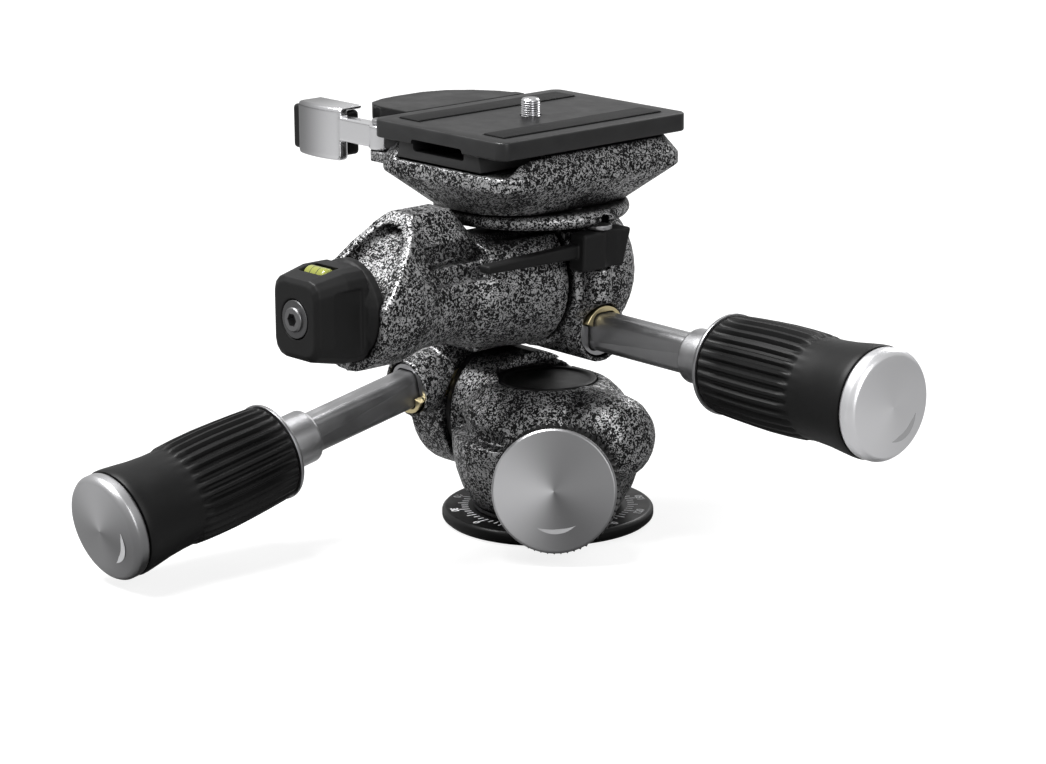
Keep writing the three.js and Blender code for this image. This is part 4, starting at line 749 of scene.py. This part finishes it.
placed("tilt_side_disc", cover(12.6, "tilt_side_cover", "X"), "tilt_body", "black_plastic",
       black_plastic, "tilt_side_cover")
placed("roll_rear_disc", cover(12, "roll_rear_cover", "Y"), "roll_body", "black_plastic",
       black_plastic, "roll_rear_cover")


# Bracket: the upper casting, a drum that rolls on the barrel's sleeve, with the handle's socket
# below and a round neck above that two screws join to the clamp.
BRACKET_VOXEL = 0.5 * mm
BRACKET_ROUNDS = 2

bracket_mesh = from_mould(merged_copy("roll_bracket"), BRACKET_VOXEL, BRACKET_ROUNDS)
placed("roll_bracket_cast", shaded(bracket_mesh, CAST_CORNER), "roll_body", "hammertone", hammer_paint,
       "roll_bracket")


# Clamp: a boat-shaped casting with a dovetail channel. The lobe beside the plate, level with its
# top, is masked before spraying and stays plain black.
CLAMP_VOXEL = 0.42 * mm
CLAMP_ROUNDS = 1
LOBE_FROM = 111 * mm

notch_cut = block((26.4, -6, 99.5), (30, -1.5, 103), 0.6)
channel_cut = block((16.5, -40, 106.4), (25, -21, 112), 0.5)
clamp_mesh = from_mould(merged_copy("clamp_platform"), CLAMP_VOXEL, CLAMP_ROUNDS,
                        [notch_cut, channel_cut])
clamp_mesh.materials.append(hammer_paint)
clamp_mesh.materials.append(black_paint)
for polygon in clamp_mesh.polygons:
    polygon.material_index = 1 if polygon.center.z > LOBE_FROM else 0
placed("clamp_cast", shaded(clamp_mesh, CAST_CORNER), "roll_body", "hammertone", hammer_paint,
       "clamp_platform")


# Camera plate: an extruded aluminium plate on a dovetail foot, with rounded corners and a slot in
# its end, in a satin dark grey, with two thin rubber strips and the steel camera screw.
PLATE_HALF = 27
PLATE_HALF_LENGTH = 34.4
PLATE_MIDDLE = -5.6
PLATE_TOP = 116.5
PLATE_CORNER = 3.2  # radii of its upright and its level edges
PLATE_EDGE = 0.55
FLANGE_LOW = 111.4
FOOT_HALF = 17.3
FOOT_HALF_LENGTH = 33.6
FOOT_LOW = 107
FOOT_TOP = FLANGE_LOW + 1
FOOT_NARROWS = 0.07  # the dovetail's share, from its low edge up
STRIP_ACROSS = 17.5
STRIP_HALF = 4.5
STRIP_HALF_LENGTH = 29.3
THREAD_PITCH = 0.62
THREAD_TURNS = 8


def joined(form, *others):
    """One form with the others in it."""
    for other in others:
        other_mesh = bpy.data.meshes.new("other")
        other.to_mesh(other_mesh)
        other.free()
        form.from_mesh(other_mesh)
    return form


def rise(edge):
    """How far an edge climbs."""
    return abs(edge.verts[0].co.z - edge.verts[1].co.z)


flange = block((-PLATE_HALF, PLATE_MIDDLE - PLATE_HALF_LENGTH, FLANGE_LOW),
               (PLATE_HALF, PLATE_MIDDLE + PLATE_HALF_LENGTH, PLATE_TOP))
eased(flange, [edge for edge in flange.edges if rise(edge) > mm], PLATE_CORNER, 8)
rims = [edge for edge in flange.edges
        if rise(edge) < 0.01 * mm and len(edge.link_faces) == 2 and edge.calc_face_angle(0) > 1]
eased(flange, rims, PLATE_EDGE, 3)
foot = block((-FOOT_HALF, PLATE_MIDDLE - FOOT_HALF_LENGTH, FOOT_LOW),
             (FOOT_HALF, PLATE_MIDDLE + FOOT_HALF_LENGTH, FOOT_TOP), 0.25, 2)
for vert in foot.verts:
    vert.co.x *= 1 - FOOT_NARROWS * (vert.co.z / mm - FOOT_LOW) / (FOOT_TOP - FOOT_LOW)
plate_middle = Matrix.Translation((0, PLATE_MIDDLE * mm, 0))
end_slot = block((-10.5, PLATE_MIDDLE - 60, 109.4), (10.5, PLATE_MIDDLE - 20.4, 112.8), 0.9)
screw_hole = turned([(0, 95), (3, 95), (3, 125), (0, 125)], plate_middle, 48)
head_hole = turned([(0, 95), (8.5, 95), (8.5, FOOT_LOW + 1.2), (0, FOOT_LOW + 1.2)], plate_middle, 48)
strip_cuts = [
    block((across - STRIP_HALF, PLATE_MIDDLE - STRIP_HALF_LENGTH, PLATE_TOP - 1),
          (across + STRIP_HALF, PLATE_MIDDLE + STRIP_HALF_LENGTH, PLATE_TOP + 3))
    for across in (-STRIP_ACROSS, STRIP_ACROSS)]
plate_mesh = from_mould(joined(flange, foot), 0, 0, [end_slot, screw_hole, head_hole] + strip_cuts)
plate_grey = grained("plate_grey", grey(0.008), grey(0.013), 0.38, specular=0.2)
plate_side_lit = grained("plate_side_lit", grey(0.02), grey(0.032), 0.36, specular=0.3)
# Painted light: the plate's sides take a lighter copy of its grey than the top, by which way each face
# looks
plate_mesh.materials.append(plate_grey)
plate_mesh.materials.append(plate_side_lit)
for polygon in plate_mesh.polygons:
    polygon.material_index = 0 if abs(polygon.normal.z) > 0.8 else 1
placed("camera_plate_body", shaded(plate_mesh, 30), "plate", "black_paint", plate_grey, "camera_plate")

strip_rubber = grained("strip_rubber", grey(0.004), grey(0.007), 0.6, scale=1500, bump=0.3,
                       specular=0.14)
for index in (1, 2):
    low, high = (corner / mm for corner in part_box(f"plate_strip_{index}"))
    placed(f"plate_strip_pad_{index}", mesh_of(block(low, high, 0.3)), "plate", "rubber", strip_rubber,
           f"plate_strip_{index}")

screw_low, screw_top = (corner.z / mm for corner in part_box("camera_screw"))
thread = [(0, screw_top), (2.1, screw_top, 0.2), (2.65, screw_top - 0.6, 0.1)]
for turn in range(THREAD_TURNS):
    root = screw_top - 0.9 - turn * THREAD_PITCH
    thread += [(2.25, root), (2.65, root - THREAD_PITCH / 2)]
screw_form = turned(thread + [
    (2.3, screw_top - 0.9 - THREAD_TURNS * THREAD_PITCH), (2.3, screw_low + 2.6),
    (8.2, screw_low + 2.6, 0.3), (8.2, screw_low, 0.4), (0, screw_low),
], plate_middle, 64)
coin_slot = block((-10, PLATE_MIDDLE - 0.8, screw_low - 1), (10, PLATE_MIDDLE + 0.8, screw_low + 0.9))
screw_mesh = from_mould(screw_form, 0, 0, [coin_slot])
bright_steel = grained("bright_steel", grey(0.55), grey(0.7), 0.22, 1)
placed("camera_screw_turned", shaded(screw_mesh, 30), "camera_screw", "steel", bright_steel,
       "camera_screw")


# Clamp lever: a polished die-cast shell, a broad front with a lip over its top, on a neck that
# turns on a steel pin. A black moulded grip fills its back.
PIVOT = Vector((-32.4, -31.6, 109.6))
LEVER_END = PIVOT.x - 37.5
SHELL_MIDDLE = LEVER_END + 11.9
SHELL_HALF = 9.3
SHELL_BOW = 1.3  # how far its front bulges
SHELL_VOXEL = 0.22 * mm
SHELL_ROUNDS = 4

# Painted reflection: the colour runs from dark at the lever's end to bright towards the plate, as
# polish mirrors a dark room and a bright one
painted_reflection_polish, made, joins, shader = nodes_of("painted_reflection_polish")
spots = made.new("ShaderNodeTexCoord")
across = made.new("ShaderNodeSeparateXYZ")
# The painted reflection's sweep along the lever, from its end towards the plate
sweep = made.new("ShaderNodeMapRange")
sweep.interpolation_type = "SMOOTHSTEP"
sweep.inputs["From Min"].default_value = (LEVER_END + 3) * mm
sweep.inputs["From Max"].default_value = (LEVER_END + 21) * mm
tint = made.new("ShaderNodeMix")
tint.data_type = "RGBA"
tint.inputs["A"].default_value = grey(0.3)
tint.inputs["B"].default_value = grey(0.95)
tooth = made.new("ShaderNodeGroup")
tooth.node_tree = grain
relief = made.new("ShaderNodeBump")
relief.inputs["Strength"].default_value = 0.03
relief.inputs["Distance"].default_value = 0.05 * mm
joins.new(spots.outputs["Object"], across.inputs["Vector"])
joins.new(across.outputs["X"], sweep.inputs["Value"])
joins.new(sweep.outputs["Result"], tint.inputs["Factor"])
joins.new(tint.outputs["Result"], shader.inputs["Base Color"])
joins.new(tooth.outputs["Height"], relief.inputs["Height"])
joins.new(relief.outputs["Normal"], shader.inputs["Normal"])
shader.inputs["Metallic"].default_value = 1
shader.inputs["Roughness"].default_value = 0.2

shell = block((LEVER_END + 2.6, PIVOT.y - 2.4, PIVOT.z - 9.1),
              (LEVER_END + 21.2, PIVOT.y + 1.2, PIVOT.z + 6.1))
lengthwise = [edge for edge in shell.edges if abs(edge.verts[0].co.x - edge.verts[1].co.x) > mm]
bmesh.ops.subdivide_edges(shell, edges=lengthwise, cuts=9, use_grid_fill=True)
for vert in shell.verts:
    share = (vert.co.x / mm - SHELL_MIDDLE) / SHELL_HALF
    vert.co.y -= SHELL_BOW * (1 - share * share) * mm
eased(shell, [edge for edge in shell.edges if edge.calc_face_angle(0) > 1], 1.1, 4)
lip = block((LEVER_END + 2.9, PIVOT.y - 1.6, PIVOT.z + 4.9),
            (LEVER_END + 21.2, PIVOT.y + 6, PIVOT.z + 6.1), 0.45)
neck = block((PIVOT.x - 20, PIVOT.y - 1.9, PIVOT.z - 3.4),
             (PIVOT.x + 0.5, PIVOT.y + 1.9, PIVOT.z + 3.4), 0.5)
pivot_place = Matrix.Translation(PIVOT * mm)
hub = turned([(0, -3.4), (3.9, -3.4, 0.5), (3.9, 3.4, 0.5), (0, 3.4)], pivot_place, 48)
pin_hole = turned([(0, -20), (1.9, -20), (1.9, 20), (0, 20)], pivot_place, 32)
shell_mesh = from_mould(joined(shell, lip, neck, hub), SHELL_VOXEL, SHELL_ROUNDS, [pin_hole])
placed("clamp_lever_shell", shaded(shell_mesh, CAST_CORNER), "clamp_lever", "turned_metal", painted_reflection_polish,
       "clamp_lever")
low, high = (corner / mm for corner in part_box("clamp_lever_pad"))
lever_back = block((low.x, PIVOT.y - 1.7, low.z), (high.x + 3.2, high.y - 0.6, high.z - 0.4), 1.2, 4)
placed("clamp_lever_back", mesh_of(lever_back, 50), "clamp_lever", "black_plastic", black_plastic,
       "clamp_lever_pad")


# Level: a moulded dark housing screwed on the end of the roll shaft, with a bullet vial sunk in
# its top and a socket screw on a washer in its face.
ROLL_HEIGHT = 72.5
CASE_VOXEL = 0.3 * mm
CASE_ROUNDS = 3
PANEL_ACROSS = 11.3
PANEL_HALF = 1.1
MARK_FROM_MIDDLE = 1.3 * mm
MARK_HALF = 0.12 * mm

lever_grey = grained("lever_grey", grey(0.007), grey(0.012), 0.5, specular=0.2)
panels = [block((across - PANEL_HALF, -87.3, 61.6), (across + PANEL_HALF, -75, 80.4), 0.6)
          for across in (-PANEL_ACROSS, PANEL_ACROSS)]
case_mesh = from_mould(merged_copy("level_housing"), CASE_VOXEL, CASE_ROUNDS, panels)
placed("level_case", shaded(case_mesh, CAST_CORNER), "roll_body", "black_paint", lever_grey,
       "level_housing")

# The vial's yellow green fluid, with two dark lines that the bubble lies between
vial_fluid, made, joins, shader = nodes_of("vial_fluid")
spots = made.new("ShaderNodeTexCoord")
split = made.new("ShaderNodeSeparateXYZ")
from_middle = math_node(vial_fluid.node_tree, "ABSOLUTE", split.outputs["X"])
from_mark = math_node(vial_fluid.node_tree, "ABSOLUTE", math_node(
    vial_fluid.node_tree, "SUBTRACT", from_middle, MARK_FROM_MIDDLE))
tint = made.new("ShaderNodeMix")
tint.data_type = "RGBA"
tint.inputs["A"].default_value = (0.27, 0.29, 0.05, 1)
tint.inputs["B"].default_value = (0.02, 0.02, 0.01, 1)
joins.new(spots.outputs["Object"], split.inputs["Vector"])
joins.new(math_node(vial_fluid.node_tree, "LESS_THAN", from_mark, MARK_HALF), tint.inputs["Factor"])
joins.new(tint.outputs["Result"], shader.inputs["Base Color"])
shader.inputs["Roughness"].default_value = 0.08
shader.inputs["Coat Weight"].default_value = 0.6

vial_low, vial_high = (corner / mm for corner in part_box("level_vial"))
vial_half = (vial_high.x - vial_low.x) / 2
vial_radius = (vial_high.z - vial_low.z) / 2.5
vial_middle = (vial_low + vial_high) / 2 - Vector((0, 0, 0.5))
bullet = turned([
    (0, -vial_half), (vial_radius * 0.7, -vial_half * 0.96, 0.4), (vial_radius, -vial_half * 0.8, 0.6),
    (vial_radius, vial_half * 0.8, 0.6), (vial_radius * 0.7, vial_half * 0.96, 0.4), (0, vial_half),
], Matrix.Translation(vial_middle * mm) @ Matrix.Rotation(math.pi / 2, 4, "Y"), 64)
placed("level_bullet", mesh_of(bullet, 50), "roll_body", "vial", vial_fluid, "level_vial")

washer_low, washer_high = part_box("level_washer")
washer_half = (washer_high.y - washer_low.y) / 2 / mm
washer = turned([
    (3, -washer_half), (5.2, -washer_half, 0.15), (5.2, washer_half, 0.3), (3, washer_half, 0.2),
    (3, -washer_half),
], lying("level_washer", "Y"), 64)
washer_steel = grained("washer_steel", grey(0.1), grey(0.15), 0.4, 1)
placed("level_ring", mesh_of(washer), "roll_body", "steel", washer_steel, "level_washer")

screw_place = (Matrix.Translation((0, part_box("level_screw")[0].y, ROLL_HEIGHT * mm))
               @ Matrix.Rotation(-math.pi / 2, 4, "X"))
socket_screw = turned([
    (0, 1.9), (3, 1.9, 0.2), (3.4, 2.3, 0.2), (3.4, 3, 0.1), (2.3, 3), (2.3, 24), (0, 24),
], screw_place, 64)
six_sides = turned([(0, -2), (1.9, -2), (1.9, 4), (0, 4)], screw_place, 6)
dark_steel = grained("dark_steel", grey(0.16), grey(0.22), 0.34, 1)
placed("level_socket_screw", shaded(from_mould(socket_screw, 0, 0, [six_sides]), 30), "roll_body",
       "steel", dark_steel, "level_screw")


# Drag lever: a small die-cast lever in matt grey, a block with a thin arm that runs along the
# yoke's slot. It turns on a post of the bracket and is held there by a flat screw.
LEVER_VOXEL = 0.24 * mm
LEVER_ROUNDS = 3
ARM_TIP_FROM = -30  # where the arm has run out to its thin tip
ARM_TIP_HALF = 1.1

low, high = (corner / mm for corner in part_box("drag_lever"))
lever = block((low.x + 0.5, -11.6, low.z), (high.x, high.y, high.z - 1.2))
for vert in lever.verts:
    if vert.co.z < (low.z + 1) * mm:
        vert.co.y -= (3.2 if vert.co.y > -5 * mm else 0.6) * mm
eased(lever, lever.edges[:], 0.9, 3)
arm = block((low.x + 0.6, low.y + 1.5, low.z + 3.6), (high.x - 2.2, -11, low.z + 7.4))
arm_middle = low.z + 5.4
for vert in arm.verts:
    if vert.co.y < ARM_TIP_FROM * mm:
        vert.co.z = (arm_middle + math.copysign(ARM_TIP_HALF, vert.co.z / mm - arm_middle)) * mm
eased(arm, arm.edges[:], 0.5, 2)
hollow = turned([(0, -20), (5.2, -20), (5.2, 20), (0, 20)], Matrix.Translation(
    Vector((high.x + 3.7, -0.5, low.z + 6)) * mm), 48)
lever_mesh = from_mould(joined(lever, arm), LEVER_VOXEL, LEVER_ROUNDS, [hollow])
placed("drag_lever_cast", shaded(lever_mesh, CAST_CORNER), "drag_lever", "black_paint", lever_grey,
       "drag_lever")


# Handles: a rounded bar in a split socket of steel and brass, a bright sleeve, and a long grip that
# screws the drawbar. The grip is rubber with soft ribs on its inner part and a turned metal end.
RIBS = 30
RIB_DEPTH = 0.55
RIB_FLATNESS = 1.8
TILT_DROOP = 0.187  # radians below the level, here and below
ROLL_DROOP = 0.01
handles = {
    # name: mouth, side and out of the socket, body and grip's body,
    # bows and greys of the end cap's painted sheen, turn and paint of the mark on it
    "tilt": ((-30.5, -26, 36.7), (1, 0, 0), (0, -math.cos(TILT_DROOP), -math.sin(TILT_DROOP)),
             "tilt_body", "tilt_grip", (1.8, 3.0, 0.15, 0.55), -0.45, white_print),
    "roll": ((18.3, 4, 57.1), (0, -1, 0), (math.cos(ROLL_DROOP), 0, -math.sin(ROLL_DROOP)),
             "roll_body", "roll_grip", (0.4, 1.0, 0.75, 0.95), 2.2, pale_print),
}
grip_stations = [
    # along, radius, how deep the ribs are
    (50.7, 11.4, 0), (50.7, 12.7, 0), (50.9, 13.3, 0.1), (51.8, 13.6, 0.8), (58, 14.0, 1),
    (64, 14.3, 1), (70, 14.5, 1), (76, 14.45, 1), (80, 14.3, 1), (82.4, 14.15, 0.85),
    (83.6, 13.8, 0.2), (84.2, 13.65, 0), (88, 13.7, 0), (93, 14.05, 0), (98, 14.7, 0),
    (101, 15.05, 0), (102.3, 15.1, 0), (102.9, 14.9, 0), (103, 14.4, 0), (103, 11.4, 0),
]


def ribbed(bearing, station):
    """Broad flat ribs with narrow grooves between them."""
    crest = max(-1, min(1, math.cos(bearing * RIBS) * RIB_FLATNESS))
    return station[1] + station[2] * RIB_DEPTH * (crest - 1)


sleeve_metal = grained("sleeve_metal", grey(0.36), grey(0.46), 0.36, 1, bump=0.05)
for name, handle in handles.items():
    mouth, side, out = (Vector(part) for part in handle[:3])
    body, grip_body, sheen_bows_and_greys, mark_turn, mark_paint = handle[3:]
    place = standing(mouth, side, out)
    sleeve = turned([
        (5.6, 37, 0.2), (7.1, 37, 0.5), (7.6, 37.7, 0.4), (7.6, 48.7, 0.3), (6.9, 48.7), (6.9, 76),
        (5.6, 76), (5.6, 37),
    ], place, 96)
    placed(f"{name}_sleeve", mesh_of(sleeve), body, "turned_metal", sleeve_metal,
           f"{name}_handle_sleeve")
    collar = turned([
        (7.2, 49), (13.4, 49, 0.4), (13.8, 49.6, 0.2), (13.8, 50.4, 0.1), (7.2, 50.4), (7.2, 49),
    ], place, 128)
    placed(f"{name}_ring", mesh_of(collar), grip_body, "turned_metal", sleeve_metal,
           f"{name}_grip_ring")
    grip = drawn_out(grip_stations, RIBS * 8, ribbed, place)
    placed(f"{name}_rubber", mesh_of(grip, 50), grip_body, "rubber", rubber, f"{name}_grip_rubber")
    # The end cap's bows of light and dark are painted sheen, far lighter on the roll grip than on the
    # tilt grip
    end_sheen_metal = lathe_metal(f"{name}_end_sheen_metal", mouth, side, out.cross(side), *sheen_bows_and_greys)
    end = turned([
        (0, 103.3), (14.6, 103.3, 0.2), (14.9, 103.9, 0.3), (14.9, 106.2, 0.4), (14.2, 107.3, 0.5),
        (13.5, 107.8, 0.3), (9, 108.4), (4, 108.72), (0, 108.8),
    ], place, 144)
    placed(f"{name}_end", mesh_of(end, 28), grip_body, "turned_metal", end_sheen_metal, f"{name}_grip_cap")
    mark = crescent(radius=9.4, width=2.2, middle=mark_turn, sweep=1.2, height=108.42, place=place)
    placed(f"{name}_mark", mesh_of(mark), grip_body, "turned_metal", mark_paint)


# The plain small pieces keep their solids' forms: rods, collars, keys, nuts, shafts, discs and
# screws of anodised bar, steel, brass and a dark slippery polymer. Those that show have their
# edges broken.
EDGE_WIDTH = 0.2 * mm
EDGE_FROM = math.radians(40)

rod_metal = grained("rod_metal", grey(0.28), grey(0.36), 0.38, 0.9, bump=0.06)
brass = grained("brass", (0.72, 0.6, 0.32, 1), (0.84, 0.74, 0.46, 1), 0.3, 1.0)
polymer = grained("polymer", grey(0.02), grey(0.035), 0.4)
slot_finishes = {
    "hammertone": hammer_paint, "black_paint": black_paint, "black_plastic": black_plastic,
    "rubber": rubber, "steel": steel, "turned_metal": sleeve_metal, "rod_metal": rod_metal,
    "brass": brass, "friction_polymer": polymer, "vial": vial_fluid,
}
for row in frame["record"]["subparts"]:
    nodes[row["node"]].material_slots[0].material = slot_finishes[row["material_slot"]]
edged_pieces = {
    # node: body, slot
    "tilt_handle_rod": ("tilt_body", "rod_metal"), "tilt_socket_collar": ("tilt_body", "steel"),
    "tilt_socket_key": ("tilt_body", "brass"), "roll_handle_rod": ("roll_body", "rod_metal"),
    "roll_socket_collar": ("roll_body", "steel"), "roll_socket_key": ("roll_body", "brass"),
    "clamp_pivot": ("roll_body", "steel"), "clamp_jaw": ("roll_body", "black_paint"),
    "drag_lever_screw": ("drag_lever", "turned_metal"),
}
for name, (body, slot) in edged_pieces.items():
    edged = placed(f"{name}_edged", mesh_of(merged_copy(name)), body, slot, slot_finishes[slot], name)
    broken = edged.modifiers.new("broken_edges", "BEVEL")
    broken.width = EDGE_WIDTH
    broken.segments = 2
    broken.angle_limit = EDGE_FROM
